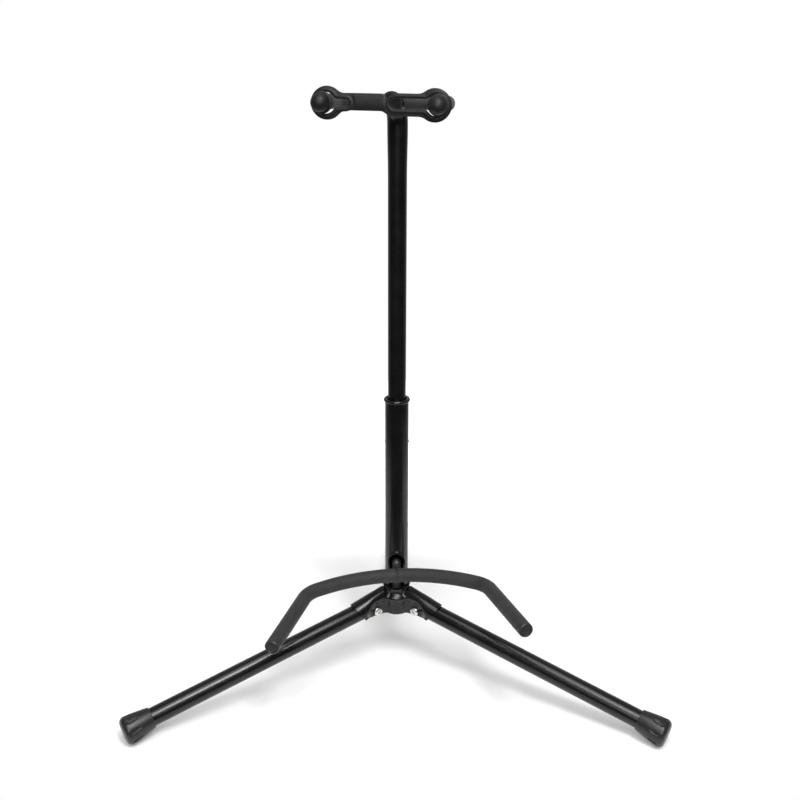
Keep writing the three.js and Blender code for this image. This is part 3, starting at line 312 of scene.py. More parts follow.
def noise(nodes, links, scale, detail, place):
    """Noise whose scale is in features a metre."""
    tex = nodes.new("ShaderNodeTexNoise")
    tex.inputs["Scale"].default_value = scale
    tex.inputs["Detail"].default_value = detail
    links.new(place, tex.inputs["Vector"])
    return tex


def ramp(nodes, links, value, low, high, a, b):
    node = nodes.new("ShaderNodeMapRange")
    links.new(value, node.inputs["Value"])
    for key, number in (("From Min", low), ("From Max", high), ("To Min", a), ("To Max", b)):
        node.inputs[key].default_value = number
    return node.outputs["Result"]


def tint(nodes, links, value, shader, dark, light):
    """Colours a shader from dark to light as the value goes from 0.3 to 0.7."""
    node = nodes.new("ShaderNodeValToRGB")
    links.new(value, node.inputs["Fac"])
    stops = node.color_ramp.elements
    stops[0].position, stops[0].color = 0.3, (*dark, 1)
    stops[1].position, stops[1].color = 0.7, (*light, 1)
    links.new(node.outputs["Color"], shader.inputs["Base Color"])


def roughen(nodes, links, value, shader, low, smoothest, roughest):
    """Sets a shader's roughness as the value goes from low to 0.7."""
    links.new(ramp(nodes, links, value, low, 0.7, smoothest, roughest), shader.inputs["Roughness"])


def new_material(name):
    material = bpy.data.materials.new(name)
    material.use_nodes = True
    tree = material.node_tree
    shader = tree.nodes["Principled BSDF"]
    place = tree.nodes.new("ShaderNodeTexCoord").outputs["Object"]
    return material, tree.nodes, tree.links, shader, place


def bump(nodes, links, shader, layers):
    """Stacks height layers: (value, strength, distance in metres)."""
    last = None
    for value, strength, distance in layers:
        node = nodes.new("ShaderNodeBump")
        node.inputs["Strength"].default_value = strength
        node.inputs["Distance"].default_value = distance
        links.new(value, node.inputs["Height"])
        if last is not None:
            links.new(last, node.inputs["Normal"])
        last = node.outputs["Normal"]
    links.new(last, shader.inputs["Normal"])


def gloss_paint():
    material, nodes, links, shader, place = new_material("black_powder_paint")
    flow = noise(nodes, links, 420, 2, place)
    fine = noise(nodes, links, 1500, 2, place)
    wear = noise(nodes, links, 35, 5, place)
    tint(nodes, links, wear.outputs["Fac"], shader, (0.0022, 0.0022, 0.0024), (0.0045, 0.0045, 0.0048))
    roughen(nodes, links, wear.outputs["Fac"], shader, 0.35, 0.23, 0.3)
    shader.inputs["Specular IOR Level"].default_value = 0.45
    bump(nodes, links, shader, [(flow.outputs["Fac"], 0.02, 0.00001), (fine.outputs["Fac"], 0.01, 0.000002)])
    return material


def foam_skin():
    material, nodes, links, shader, place = new_material("foam_sleeve")
    cells = nodes.new("ShaderNodeTexVoronoi")
    cells.inputs["Scale"].default_value = 1900
    links.new(place, cells.inputs["Vector"])
    grain = noise(nodes, links, 900, 4, place)
    cloud = noise(nodes, links, 60, 3, place)
    tint(nodes, links, cloud.outputs["Fac"], shader, (0.014, 0.014, 0.0143), (0.021, 0.021, 0.0215))
    roughen(nodes, links, grain.outputs["Fac"], shader, 0.3, 0.62, 0.8)
    shader.inputs["Specular IOR Level"].default_value = 0.45
    shader.inputs["Sheen Weight"].default_value = 0.08
    shader.inputs["Sheen Roughness"].default_value = 0.5
    bump(nodes, links, shader, [(cells.outputs["Distance"], 0.35, 0.00012),
                                (grain.outputs["Fac"], 0.3, 0.0001),
                                (cloud.outputs["Fac"], 0.2, 0.0003)])
    return material


def moulded(name, dark, light, rough_low, rough_high, grain_size, specular=0.5):
    material, nodes, links, shader, place = new_material(name)
    grain = noise(nodes, links, grain_size, 5, place)
    cloud = noise(nodes, links, 70, 4, place)
    tint(nodes, links, cloud.outputs["Fac"], shader, dark, light)
    roughen(nodes, links, grain.outputs["Fac"], shader, 0.3, rough_low, rough_high)
    shader.inputs["Specular IOR Level"].default_value = specular
    bump(nodes, links, shader, [(grain.outputs["Fac"], 0.3, 0.00008), (cloud.outputs["Fac"], 0.15, 0.0003)])
    return material


def plated(name, dark, light, rough_low, rough_high):
    material, nodes, links, shader, place = new_material(name)
    fine = noise(nodes, links, 2500, 4, place)
    cloud = noise(nodes, links, 300, 5, place)
    tint(nodes, links, cloud.outputs["Fac"], shader, dark, light)
    shader.inputs["Metallic"].default_value = 1
    roughen(nodes, links, cloud.outputs["Fac"], shader, 0.3, rough_low, rough_high)
    bump(nodes, links, shader, [(fine.outputs["Fac"], 0.2, 0.00002)])
    return material


PAINT = gloss_paint()
FOAM = foam_skin()
RUBBER = moulded("satin_rubber", (0.016, 0.016, 0.0165), (0.024, 0.024, 0.0245), 0.4, 0.52, 1400)
# The strap's copy of the black rubber is darker than the plain one: painted shade, offsetting the light the
# lamps throw on it.
STRAP_RUBBER_SHADED = moulded("strap_rubber", (0.0065, 0.0065, 0.0067), (0.0105, 0.0105, 0.0107), 0.45, 0.56,
                       1400, 0.26)
# The feet's copy of the black rubber is darker: painted shade, offsetting the light they catch from above
# and from the floor.
FOOT_RUBBER_SHADED = moulded("foot_rubber_painted_shade", (0.006, 0.006, 0.0062), (0.011, 0.011, 0.0113), 0.34, 0.46, 1400)
# The balls' copy of the black rubber is the darkest: painted shade, offsetting the light the front lamp
# throws on them.
BALL_RUBBER_SHADED = moulded("ball_rubber_painted_shade", (0.0045, 0.0045, 0.0046), (0.008, 0.008, 0.0082), 0.46, 0.56,
                      1400, 0.34)
# The stem is the cradle rod's own black paint made lighter: painted light, standing in for the light and
# reflections that the slot's walls keep from it.
STEM_PAINTED_LIGHT = moulded("stem_painted_light", (0.03, 0.03, 0.031), (0.05, 0.05, 0.051), 0.26, 0.38, 1800)
PLASTIC = moulded("moulded_nylon", (0.006, 0.006, 0.006), (0.01, 0.01, 0.01), 0.42, 0.52, 1800, 0.25)
ZINC = plated("bright_zinc", (0.62, 0.62, 0.6), (0.78, 0.78, 0.76), 0.2, 0.34)
SPRING = plated("spring_strip", (0.3, 0.3, 0.31), (0.42, 0.42, 0.43), 0.3, 0.45)
FINISHES = {"black_paint": PAINT, "black_foam": FOAM, "black_rubber": RUBBER, "black_plastic": PLASTIC,
            "zinc": ZINC, "spring_steel": SPRING}
slots = {row["node"]: row["material_slot"] for row in frame["record"]["subparts"]}
for node, shown in frame["nodes"].items():
    shown.data.materials.clear()
    shown.data.materials.append(FINISHES[slots[node]])
owner = {node: body for body, nodes in frame["record"]["behaviour"]["bodies"].items() for node in nodes}


def dress(piece, node, material=None):
    """Puts a piece in a node's place: its body, its slot and its finish."""
    piece.data.materials.clear()
    piece.data.materials.append(material or FINISHES[slots[node]])
    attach(piece, owner[node])
    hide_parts(node)
    return piece


# Camera, at the photograph's angle

LENS, SENSOR = 51.62, 36
CAMERA_PLACE = Vector((3.3, -1146, 740.6))
CAMERA_DOWN, CAMERA_ROLL, CAMERA_TURN = 20.2, 0.2, 0.1
camera_data = bpy.data.cameras.new("camera")
camera_data.sensor_width = SENSOR
camera_data.lens = LENS
camera = add("camera", camera_data)
orbit = Matrix.Rotation(radians(CAMERA_TURN), 3, "Z")
camera.location = (orbit @ CAMERA_PLACE + SHAFT) * MM
camera.rotation_euler = (orbit @ Matrix.Rotation(radians(90 - CAMERA_DOWN), 3, "X")
                         @ Matrix.Rotation(radians(CAMERA_ROLL), 3, "Z")).to_euler()
bpy.context.scene.camera = camera


# Legs and feet, drawn along the leg: +X outwards

pivot_along = PIVOT_REACH / lean + PIVOT_BELOW * sin(radians(LEG_SLOPE))


def leg_frame(turn):
    return (Matrix.Rotation(radians(turn), 4, "Z") @ Matrix.Translation((0, 0, axis_height))
            @ Matrix.Rotation(radians(LEG_SLOPE), 4, "Y"))


def leg_tube(name, matrix):
    across, up = Vector((0, 1, 0)), UP

    def ring(past, inset, shorten=0.0):
        share = smooth((past - TAB_FLAT) / TAB_BLEND)
        half = mix(LEG_WALL, LEG_RADIUS, share) - inset
        tall = mix(TAB_HEIGHT / 2, LEG_RADIUS, share) - inset
        lift = mix(LEG_RADIUS - TAB_HEIGHT / 2, 0, share)
        return stadium(Vector((pivot_along + past, 0, lift)), across, up, half, tall - shorten, 64)

    blend = [TAB_FLAT + TAB_BLEND * k / 14 for k in range(15)]
    end = leg_end - pivot_along
    corner = [ring(TAB_CORNER * (1 - cos(QUARTER * k / 3)) - TAB_INNER_END, 0,
                   TAB_CORNER * (1 - sin(QUARTER * k / 3))) for k in range(4)]
    rings = corner + [ring(p, 0) for p in blend] + [ring(60, 0), ring(end, 0), ring(end, LEG_WALL)]
    rings += [ring(TAB_FLAT + TAB_BLEND * s, LEG_WALL) for s in (1, 0.8, 0.65)]
    return loft(name, rings, matrix)


foot_start = leg_end - (FOOT_LENGTH - FOOT_END_WALL)
FOOT_SIDE, FOOT_FULL = 0.82, 0.86  # shares of the length where the side ends and its curve would be full
FOOT_CURVE = 1.35


def rubber_foot(name, matrix):
    """A swollen cup with flutes that are pointed towards the collar and round towards the end."""
    sides, pitch = 192, TURN / FLUTES

    def ring(along, radius, droop, dipped):
        points = []
        for k in range(sides):
            turn = TURN * (k + 0.5) / sides
            off = ((turn / pitch) % 1 - 0.5) * pitch * radius
            reach = (along - FLUTE_MIDDLE) / (FLUTE_LENGTH / 2)
            width = FLUTE_WIDTH / 2 * (1.0 if reach > 0 else 1 + 0.45 * reach)
            lens = 1 - (off / width) ** 2 - reach ** 2
            dip = FLUTE_DEPTH * smooth(max(lens, 0) * 1.6) if dipped else 0
            size = radius - dip
            points.append(Vector((foot_start + along, size * cos(turn), size * sin(turn) - droop)))
        return points

    bore = LEG_RADIUS + 0.1
    bore_end = FOOT_LENGTH - FOOT_END_WALL + GAP
    outer = [ring(0.0, FOOT_COLLAR / 2 - 0.7, 0, False), ring(0.2, FOOT_COLLAR / 2 - 0.2, 0, False),
             ring(0.7, FOOT_COLLAR / 2, 0, False)]
    steps = 44
    for k in range(1, steps + 1):
        share = FOOT_SIDE * k / steps
        taper = 1 - (1 - share / FOOT_FULL) ** FOOT_CURVE
        size = mix(FOOT_COLLAR, FOOT_DIAMETER, taper) / 2
        outer.append(ring(share * FOOT_LENGTH, size, FOOT_DROOP * share / FOOT_SIDE, True))
    tip = FOOT_LENGTH - FOOT_END_ROUND
    ends = []
    for k in range(1, 9):
        turn = QUARTER * k / 8
        size = FOOT_DIAMETER / 2 - FOOT_END_ROUND * (1 - cos(turn))
        ends.append(ring(tip + FOOT_END_ROUND * sin(turn), size, FOOT_DROOP, False))
    inner = [ring(bore_end, bore, 0, False), ring(0.3, bore, 0, False)]
    foot = loft(name, inner + outer + ends, matrix, sharp=50)
    for vertex in foot.data.vertices:
        vertex.co.z = max(vertex.co.z, 0)  # the worn facet on which it stands
    return foot


for side, turn in (("front_left", -150), ("front_right", -30), ("rear", 90)):
    dress(leg_tube(f"leg_{side}_tube", leg_frame(turn)), f"leg_{side}")
    dress(rubber_foot(f"foot_{side}_rubber", leg_frame(turn)), f"foot_{side}", FOOT_RUBBER_SHADED)


# Hub plates

CREST, TUCK, WEB, FILLET_STEPS, NECK_STEPS = 14, 8, 5, 8, 12
LEG_STEPS = 22
socket_half = LEG_RADIUS + GAP + SHEET
flange_offset = LEG_WALL + GAP + SHEET
ROWS = CREST + TUCK + WEB + 1


def leg_axis_at(reach):
    return axis_height - reach * fall


def crest_at(reach):
    start, end = rim_height - RIDGE_START_DROP, leg_axis_at(SOCKET_REACH) + socket_half / lean
    return mix(start, end, (reach - RIDGE_START_REACH) / (SOCKET_REACH - RIDGE_START_REACH))


def socket_point(row, reach):
    opened = smooth((reach - OPEN_FROM) / (OPEN_TO - OPEN_FROM))
    half = mix(RIDGE_HALF, socket_half, opened)
    flange = mix(flange_offset, half, opened)
    top = crest_at(reach)
    side = mix(rim_height - RIDGE_DEPTH, leg_axis_at(reach), opened)
    tuck = mix(rim_height - RIDGE_TUCK, leg_axis_at(reach) - SKIRT, opened)
    low = hub_bottom + SOCKET_EDGE_RISE * opened
    if row <= CREST:
        turn = QUARTER * row / CREST
        return half * sin(turn), side + (top - side) * cos(turn)
    if row <= CREST + TUCK:
        share = (row - CREST) / TUCK
        return mix(half, flange, smooth(share)), mix(side, tuck, share)
    return flange, mix(tuck, low, (row - CREST - TUCK) / WEB)


NECK_OUT = ((0, 0.17), (0.12, 0.02), (0.3, 0.0), (0.48, 0.05), (0.72, 0.7), (0.9, 0.97), (1, 1))


def neck_point(row):
    if row <= CREST:
        share = row / CREST
        for (x0, y0), (x1, y1) in zip(NECK_OUT, NECK_OUT[1:]):
            if x0 <= share <= x1:
                out = NECK_BULGE * mix(y0, y1, smooth((share - x0) / (x1 - x0)))
                break
        return neck_radius + out, rim_height - RIDGE_DEPTH * share
    if row <= CREST + TUCK:
        share = (row - CREST) / TUCK
        height = rim_height - mix(RIDGE_DEPTH, RIDGE_TUCK, share)
        return neck_radius + NECK_BULGE * (1 - smooth(share)), height
    share = (row - CREST - TUCK) / WEB
    return neck_radius, rim_height - mix(RIDGE_TUCK, HUB_HEIGHT, share)


def fillet_of(row):
    if row <= CREST:
        return mix(RIM_FILLET, BULGE_FILLET, sin(QUARTER * row / CREST))
    return mix(BULGE_FILLET, WEB_FILLET, smooth((row - CREST) / TUCK))


def plate_line(row):
    ring_radius, ring_height = neck_point(row)
    fillet = fillet_of(row)
    root = socket_point(row, RIDGE_START_REACH)[0]
    along = sqrt((ring_radius + fillet) ** 2 - (root + fillet) ** 2)
    off = root + fillet
    meet = atan2(off, along)
    mouth = SOCKET_REACH - SOCKET_SLANT * (crest_at(SOCKET_REACH) - socket_point(row, SOCKET_REACH)[1])
    line = []
    for k in range(LEG_STEPS + 1):
        reach = mix(mouth, along, k / LEG_STEPS)
        line.append((reach, *socket_point(row, reach)))
    root_height = line[-1][2]
    for k in range(1, FILLET_STEPS + 1):
        share = k / FILLET_STEPS
        turn = mix(-QUARTER, meet - pi, share)
        line.append((along + fillet * cos(turn), off + fillet * sin(turn),
                     mix(root_height, ring_height, smooth(share))))
    for k in range(1, NECK_STEPS + 1):
        turn = mix(meet, radians(60), k / NECK_STEPS)
        line.append((ring_radius * cos(turn), ring_radius * sin(turn), ring_height))
    return line


def hub_plate(name, matrix):
    half = radians(60)
    lines = []
    for row in range(ROWS):
        points = [Vector((a * cos(half) + o * sin(half), a * sin(half) - o * cos(half), h))
                  for a, o, h in plate_line(row)]
        lines.append(points + [Vector((p.x, -p.y, p.z)) for p in reversed(points[:-1])])
    stations = len(lines[0])

    def at(row, station):
        return lines[min(max(row, 0), ROWS - 1)][min(max(station, 0), stations - 1)]

    def clear(point):
        """Keeps a point on its own side of both leg planes."""
        for sign in (1, -1):
            away = Vector((sin(half), -sign * cos(half), 0))
            short = GAP / 2 - point.dot(away)
            along = point.dot(Vector((cos(half), sign * sin(half), 0)))
            if short > 0 and along > 0:
                point = point + away * short
        return point

    rings = []
    for station in range(stations):
        outer, inner = [], []
        for row in range(ROWS):
            point = at(row, station)
            along = at(row, station + 1) - at(row, station - 1)
            down = at(row + 1, station) - at(row - 1, station)
            normal = down.cross(along).normalized()
            outer.append(clear(point))
            inner.append(clear(point + normal * SHEET))
        rings.append(outer + inner[::-1])
    return loft(name, rings, matrix, sharp=40)


for side, turn in (("front", -90), ("right", 30), ("left", 150)):
    plate = dress(hub_plate(f"hub_plate_{side}_pressing", Matrix.Rotation(radians(turn), 4, "Z")),
                  f"hub_plate_{side}")
    soften(plate, 0.35, 2, 50)


# Pivot screws

pivot_height = axis_height - PIVOT_REACH * fall - PIVOT_BELOW
seat = flange_offset + GAP


def screw(name, matrix):
    head, top = SCREW_HEAD, seat + SCREW_HEIGHT
    shoulder = top - SCREW_CROWN
    tail = -(seat + NUT_HEIGHT + THREAD_PAST_NUT)
    profile = [(0, tail), (2.0, tail), (THREAD, tail + 0.7)]
    z = tail + 0.9
    while z < -seat - 0.4:
        profile += [(THREAD, z), (THREAD_ROOT, z + THREAD_PITCH / 2)]
        z += THREAD_PITCH
    profile += [(THREAD, -seat), (THREAD, seat), (head - 0.35, seat), (head, seat + 0.3), (head, shoulder)]
    profile += [(mix(SCREW_FLAT, head, cos(radians(a))), shoulder + SCREW_CROWN * sin(radians(a)))
                for a in (15, 30, 45, 60, 75, 90)]
    piece = revolve(name, profile + [(0, top)], 64, LOCAL)
    points, faces = block((-2.7, -0.58, top - 1.8), (2.7, 0.58, top + 2))
    recess = []
    for x, y, z in points:
        along, across = (0.55, 0.8) if z < top else (1.1, 1.15)
        recess.append((x * along, y * across, z))
    tools = [make("tool", recess, faces, LOCAL @ Matrix.Rotation(radians(turn), 4, "Z"))
             for turn in (45, 135)]
    well = revolve("well", [(0, top - 1.5), (1.25, top - 0.9), (1.7, top + 1), (0, top + 1)], 24, LOCAL)
    carve(piece, tools + [well])
    piece.data.transform(WORLD @ matrix)
    return piece


def nut(name, matrix):
    sides, corner = 72, NUT_FLAT / cos(radians(30))
    low, high = -seat - NUT_HEIGHT, -seat

    def ring(size, z):
        """A hexagon cut back to a circle of the given size."""
        points = []
        for k in range(sides):
            turn = TURN * k / sides
            reach = min(size, NUT_FLAT / cos((turn + radians(30)) % (TURN / 6) - TURN / 12))
            points.append(Vector((reach * cos(turn), reach * sin(turn), z)))
        return points

    rings = [ring(NUT_FLAT - 0.1, low), ring(corner, low + 0.5), ring(corner, high)]
    rings += [ring(THREAD + GAP, high), ring(THREAD + GAP, low)]
    return soften(loft(name, rings, matrix, ends=False, sharp=25), 0.12, 1, 30)


for side, turn, facing in (("front_left", -150, -1), ("front_right", -30, 1), ("rear", 90, -1)):
    place = Matrix.Rotation(radians(turn), 4, "Z") @ aim((PIVOT_REACH, 0, pivot_height), (0, -facing, 0))
    dress(screw(f"pivot_screw_{side}_pan", place), f"pivot_screw_{side}")
    dress(nut(f"pivot_nut_{side}_hex", place), f"pivot_nut_{side}")


# Lower tube: rolled rim, slot with a pressed lip, button holes

def lower_tube():
    bore, bead = LOWER_RADIUS - LOWER_WALL, RIM_BEAD / 2
    middle = LOWER_RADIUS - LOWER_WALL / 2
    angle = degrees(acos((LOWER_WALL / 2) / bead))
    profile = [(bore, lower_bottom), (LOWER_RADIUS, lower_bottom)]
    rows, rows_end = 56, 84  # close together past the slot, so that its cut leaves no long thin faces
    profile += [(LOWER_RADIUS, lower_bottom + rows_end * k / rows) for k in range(1, rows + 1)]
    profile += [(LOWER_RADIUS, mix(lower_bottom + rows_end, lower_top - 5, k / 8)) for k in range(1, 9)]
    profile += arc(middle, lower_top - bead, bead, -angle, 180 + angle, 24)
    tube = revolve("lower_tube_body", profile, 128)
    slot_half = SLOT_WIDTH / 2
    top = lower_bottom + SLOT_LENGTH - SLOT_ARCH
    lip_path = slot_half + SLOT_LIP_WIDTH / 2 - SLOT_LIP_OVER
    lip_rise = SLOT_ARCH + SLOT_LIP_WIDTH / 2 - SLOT_LIP_OVER

    def on_tube(x, z):
        return Vector((x, -sqrt(LOWER_RADIUS ** 2 - x ** 2), z))

    stations = [on_tube(-lip_path, top - SLOT_LIP_LEG * (1 - k / 6)) for k in range(6)]
    stations += [on_tube(-lip_path * cos(pi * k / 60), top + lip_rise * sin(pi * k / 60)) for k in range(61)]
    stations += [on_tube(lip_path, top - SLOT_LIP_LEG * (k + 1) / 6) for k in range(6)]
    rings = []
    for index, place in enumerate(stations):
        before, after = stations[max(index - 1, 0)], stations[min(index + 1, len(stations) - 1)]
        way = (after - before).normalized()
        out = Vector((place.x, place.y, 0)).normalized()
        across = way.cross(out).normalized()
        size = 0.25 + 0.75 * smooth(min(index, len(stations) - 1 - index) / 14)
        wide, proud = SLOT_LIP_WIDTH / 2 * size, SLOT_LIP_PROUD * size
        rings.append(ellipse(place, across, across.cross(way), wide, proud, 24))
    carve(tube, [loft("lip", rings)], "UNION", 45)
    outline = [Vector((-slot_half, 0, lower_bottom - 5)), Vector((slot_half, 0, lower_bottom - 5))]
    outline += [Vector((slot_half * cos(pi * k / 40), 0, top + SLOT_ARCH * sin(pi * k / 40)))
                for k in range(41)]
    cutter_rings = [[p + Vector((0, y, 0)) for p in outline] for y in (-LOWER_RADIUS - 6, -LOWER_WALL)]
    hole = BUTTON + GAP
    holes = revolve("holes", [(0, -20), (hole, -20), (hole, 20), (0, 20)], 40,
                    aim((0, 0, lower_top - BUTTON_BELOW), (1, 0, 0)))
    carve(tube, [loft("slot", cutter_rings), holes], sharp=45)
    return tube


soften(dress(lower_tube(), "lower_tube"), 0.25, 2, 50)


# Upper tube

crook_yaw = radians(-90 - CROOK_TURN)
crook_way = Vector((cos(crook_yaw), sin(crook_yaw), 0))


def upper_tube():
    side = Vector((-crook_way.y, crook_way.x, 0))
    stations = [(0, lower_top + above, 0, 0) for above in (-UPPER_INSERTION, -30, 100)]
    for k in range(10):
        share = k / 10
        stations.append((0, crook_start - CROOK_WIDEN_LENGTH * (1 - share), 0, smooth(share)))
    for k in range(33):
        turn = QUARTER * k / 32
        stations.append((CROOK_RADIUS * (1 - cos(turn)), crook_start + CROOK_RADIUS * sin(turn), turn, 1))
    stations.append((CROOK_RADIUS + CROOK_TIP, crook_height, QUARTER, 1))

    def ring(forward, height, turn, widen, inset):
        centre = crook_way * forward + UP * height
        front = crook_way * cos(turn) - UP * sin(turn)
        return ellipse(centre, side, front, UPPER_RADIUS + CROOK_WIDEN * widen - inset,
                       UPPER_RADIUS - CROOK_WIDEN / 2 * widen - inset, 96)

    rings = [ring(*s, 0) for s in stations] + [ring(*s, UPPER_WALL) for s in reversed(stations)]
    tube = loft("upper_tube_body", rings, ends=False, sharp=45)
    bore = YOKE_ROD / 2 + GAP / 2
    hole = revolve("hole", [(0, -20), (bore, -20), (bore, 20), (0, 20)], 48,
                   aim(crook_way * YOKE_FORWARD + UP * crook_height, side))
    return carve(tube, [hole], sharp=45)


soften(dress(upper_tube(), "upper_tube"), 0.2, 2, 50)

plug_spigot = UPPER_RADIUS - CROOK_WIDEN / 2 - UPPER_WALL - GAP
plug_profile = [(0, -PLUG_SPIGOT), (plug_spigot, -PLUG_SPIGOT), (plug_spigot, GAP), (10.4, GAP)]
plug_profile += arc(9.7, GAP + 1.2, 1.2, -50, 88, 8) + [(7.6, GAP + 2.4), (7.2, GAP + 2.15), (0, GAP + 2.15)]
plug = revolve("crook_plug_moulding", plug_profile, 64,
               aim(crook_way * (CROOK_RADIUS + CROOK_TIP) + UP * crook_height, crook_way))
dress(plug, "crook_plug")


# Snap buttons

button_low, button_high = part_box("snap_button_left")
button_height = (button_low.z + button_high.z) / 2 / MM
for side, sign in (("left", -1), ("right", 1)):
    tip = LOWER_RADIUS + BUTTON_PROUD
    dome = (BUTTON ** 2 + BUTTON_DOME ** 2) / (2 * BUTTON_DOME)
    profile = [(0, BUTTON_BASE), (BUTTON, BUTTON_BASE)]
    profile += arc(0, tip - dome, dome, degrees(acos(BUTTON / dome)), 88, 10) + [(0, tip)]
    dress(revolve(f"snap_button_{side}_dome", profile, 40, aim((0, 0, button_height), (sign, 0, 0))),
          f"snap_button_{side}")


# Cradle

CRADLE = (Matrix.Translation((0, 0, crossbar_height)) @ Matrix.Rotation(radians(CRADLE_YAW), 4, "Z")
          @ Matrix.Rotation(radians(-CRADLE_ROLL), 4, "Y"))


def cradle_half(sign, lead, run):
    start = asin(lead / CROSSBAR_RADIUS)
    turn = degrees(start)
    yaw = -turn if sign > 0 else 180 + turn
    return travel((sign * lead, -CROSSBAR_REACH - CROSSBAR_RADIUS * (1 - cos(start)), 0), yaw, [
        {"radius": CROSSBAR_RADIUS, "turn": -sign * (CROSSBAR_ANGLE - turn), "steps": 14},
        {"run": SHOULDER, "steps": 2},
        {"radius": ARM_RADIUS, "turn": -sign * ARM_BEND, "climb": sign * ARM_CLIMB, "steps": 14},
        {"run": run, "steps": 6}])


def backwards(stations):
    return [(place, -way) for place, way in reversed(stations[1:])]


bar_run = ARM_LENGTH + CAP_BITE
bar = rod("cradle_bar", backwards(cradle_half(-1, 0, bar_run)) + cradle_half(1, 0, bar_run),
          CRADLE_ROD / 2, 32, matrix=CRADLE)
stem_radius = STEM_DIAMETER / 2
stem_top = crossbar_height + STEM_TOP
stem_profile = [(0, lower_bottom - 0.7), (stem_radius, lower_bottom - 0.7)]
stem_profile += arc(0, stem_top - stem_radius, stem_radius, 0, 88, 12) + [(0, stem_top)]
stem = revolve("cradle_stem", stem_profile, 48, Matrix.Translation((0, -STEM_FORWARD, 0)))
link_radius = LINK_DIAMETER / 2
link_frame = aim((0, 0, crossbar_height), (0, -1, 0))
link = revolve("link", [(0, STEM_FORWARD), (link_radius, STEM_FORWARD),
                        (link_radius, CROSSBAR_REACH), (0, CROSSBAR_REACH)], 40, link_frame)
carve(bar, [link], "UNION", 45)
dress(bar, "cradle_rod")
# The stem takes the lighter copy of the rod's paint: painted light.
dress(stem, "cradle_rod", STEM_PAINTED_LIGHT)

for side, sign in (("left", -1), ("right", 1)):
    stations = cradle_half(sign, 0.25, ARM_LENGTH)
    sleeve = rod(f"cradle_sleeve_{side}_foam", stations, CRADLE_SLEEVE / 2, 64,
                 CRADLE_ROD / 2 + SLEEVE_SLACK, CRADLE, SLEEVE_ROUND)
    room = link_radius + 0.2
    relief = revolve("relief", [(0, 0), (room, 0), (room, CROSSBAR_REACH), (0, CROSSBAR_REACH)], 40,
                     link_frame)
    carve(sleeve, [relief], sharp=50)
    dress(sleeve, f"cradle_sleeve_{side}")
    place, way = cradle_half(sign, GAP, ARM_LENGTH)[-1]
    outer, bore, bore_end = CRADLE_SLEEVE / 2, CRADLE_ROD / 2 + GAP, CAP_BITE + GAP
    profile = [(0, bore_end), (bore, bore_end), (bore, 0), (outer - 0.5, 0), (outer, 0.5)]
    profile += arc(outer - CAP_ROUND, CAP_LENGTH - CAP_ROUND, CAP_ROUND, 0, 90, 8)
    profile += [(outer - 2.2, CAP_LENGTH), (outer - 2.5, CAP_LENGTH - 0.5), (outer - 2.9, CAP_LENGTH - 0.45),
                (3.5, CAP_LENGTH - 0.15), (0, CAP_LENGTH - 0.05)]
    cap = revolve(f"cradle_cap_{side}_moulding", profile, 64, CRADLE @ aim(place, way), 30)
    dress(cap, f"cradle_cap_{side}")


# Yoke

YOKE = (Matrix.Translation(crook_way * YOKE_FORWARD + UP * crook_height)
        @ Matrix.Rotation(radians(-CROOK_TURN), 4, "Z") @ Matrix.Rotation(radians(-YOKE_RISE), 4, "X"))
prong = YOKE_REACH - YOKE_BEND
ball_base = sqrt((BALL / 2) ** 2 - (BALL_WAIST / 2) ** 2)
flange_back = ball_base + BALL_FLANGE_WIDTH
neck_back = flange_back + BALL_NECK_LENGTH


def yoke_half(sign, lead, run):
    return travel((sign * lead, 0, 0), 0 if sign > 0 else 180, [
        {"run": YOKE_SPAN / 2 - YOKE_BEND - lead, "steps": 2},
        {"radius": YOKE_BEND, "turn": -sign * 90, "steps": 18},
        {"run": run, "steps": 3}])


run = prong + BALL_BORE - GAP
yoke_bar = rod("yoke_bar", backwards(yoke_half(-1, 0, run)) + yoke_half(1, 0, run), YOKE_ROD / 2, 32,
               matrix=YOKE)
dress(yoke_bar, "yoke_rod")
for side, sign in (("left", -1), ("right", 1)):
    stations = yoke_half(sign, YOKE_SLEEVE_START, prong - neck_back - GAP)
    sleeve = rod(f"yoke_sleeve_{side}_foam", stations, YOKE_SLEEVE / 2, 64,
                 YOKE_ROD / 2 + SLEEVE_SLACK, YOKE, SLEEVE_ROUND)
    dress(sleeve, f"yoke_sleeve_{side}")
    ball, neck, flange, edge = BALL / 2, BALL_NECK / 2, BALL_FLANGE / 2, BALL_FLANGE_WIDTH / 2
    bore = YOKE_ROD / 2 + GAP
    profile = [(0, BALL_BORE), (bore, BALL_BORE), (bore, -neck_back), (neck - 0.5, -neck_back)]
    profile += [(neck, -neck_back + 0.5), (neck, -flange_back - 0.4), (neck + 0.4, -flange_back)]
    profile += arc(flange - edge, -flange_back + edge, edge, -90, 80, 12)
    profile += [(BALL_WAIST / 2 + 0.5, -ball_base)]
    profile += arc(0, 0, ball, 4 - degrees(asin(ball_base / ball)), 88, 28) + [(0, ball)]
    place = YOKE @ aim((sign * YOKE_SPAN / 2, -YOKE_REACH, 0), (0, -1, 0))
    knob = revolve(f"yoke_ball_{side}_rubber", profile, 64, place, 50)
    dress(knob, f"yoke_ball_{side}", BALL_RUBBER_SHADED)


# Strap: a flat band whose left loop opens into a keyhole and whose right loop opens into a slot

strap_plane = flange_back + GAP + STRAP_BEAD / 2
STRAP = (YOKE @ Matrix.Translation((0, strap_plane - YOKE_REACH, -STRAP_DROP))
         @ Matrix.Rotation(QUARTER, 4, "X"))
strap_centre = YOKE_SPAN / 2 - STRAP_SET_IN
strap_hole = BALL_NECK / 2 + GAP + sqrt(STRAP_SET_IN ** 2 + STRAP_DROP ** 2)


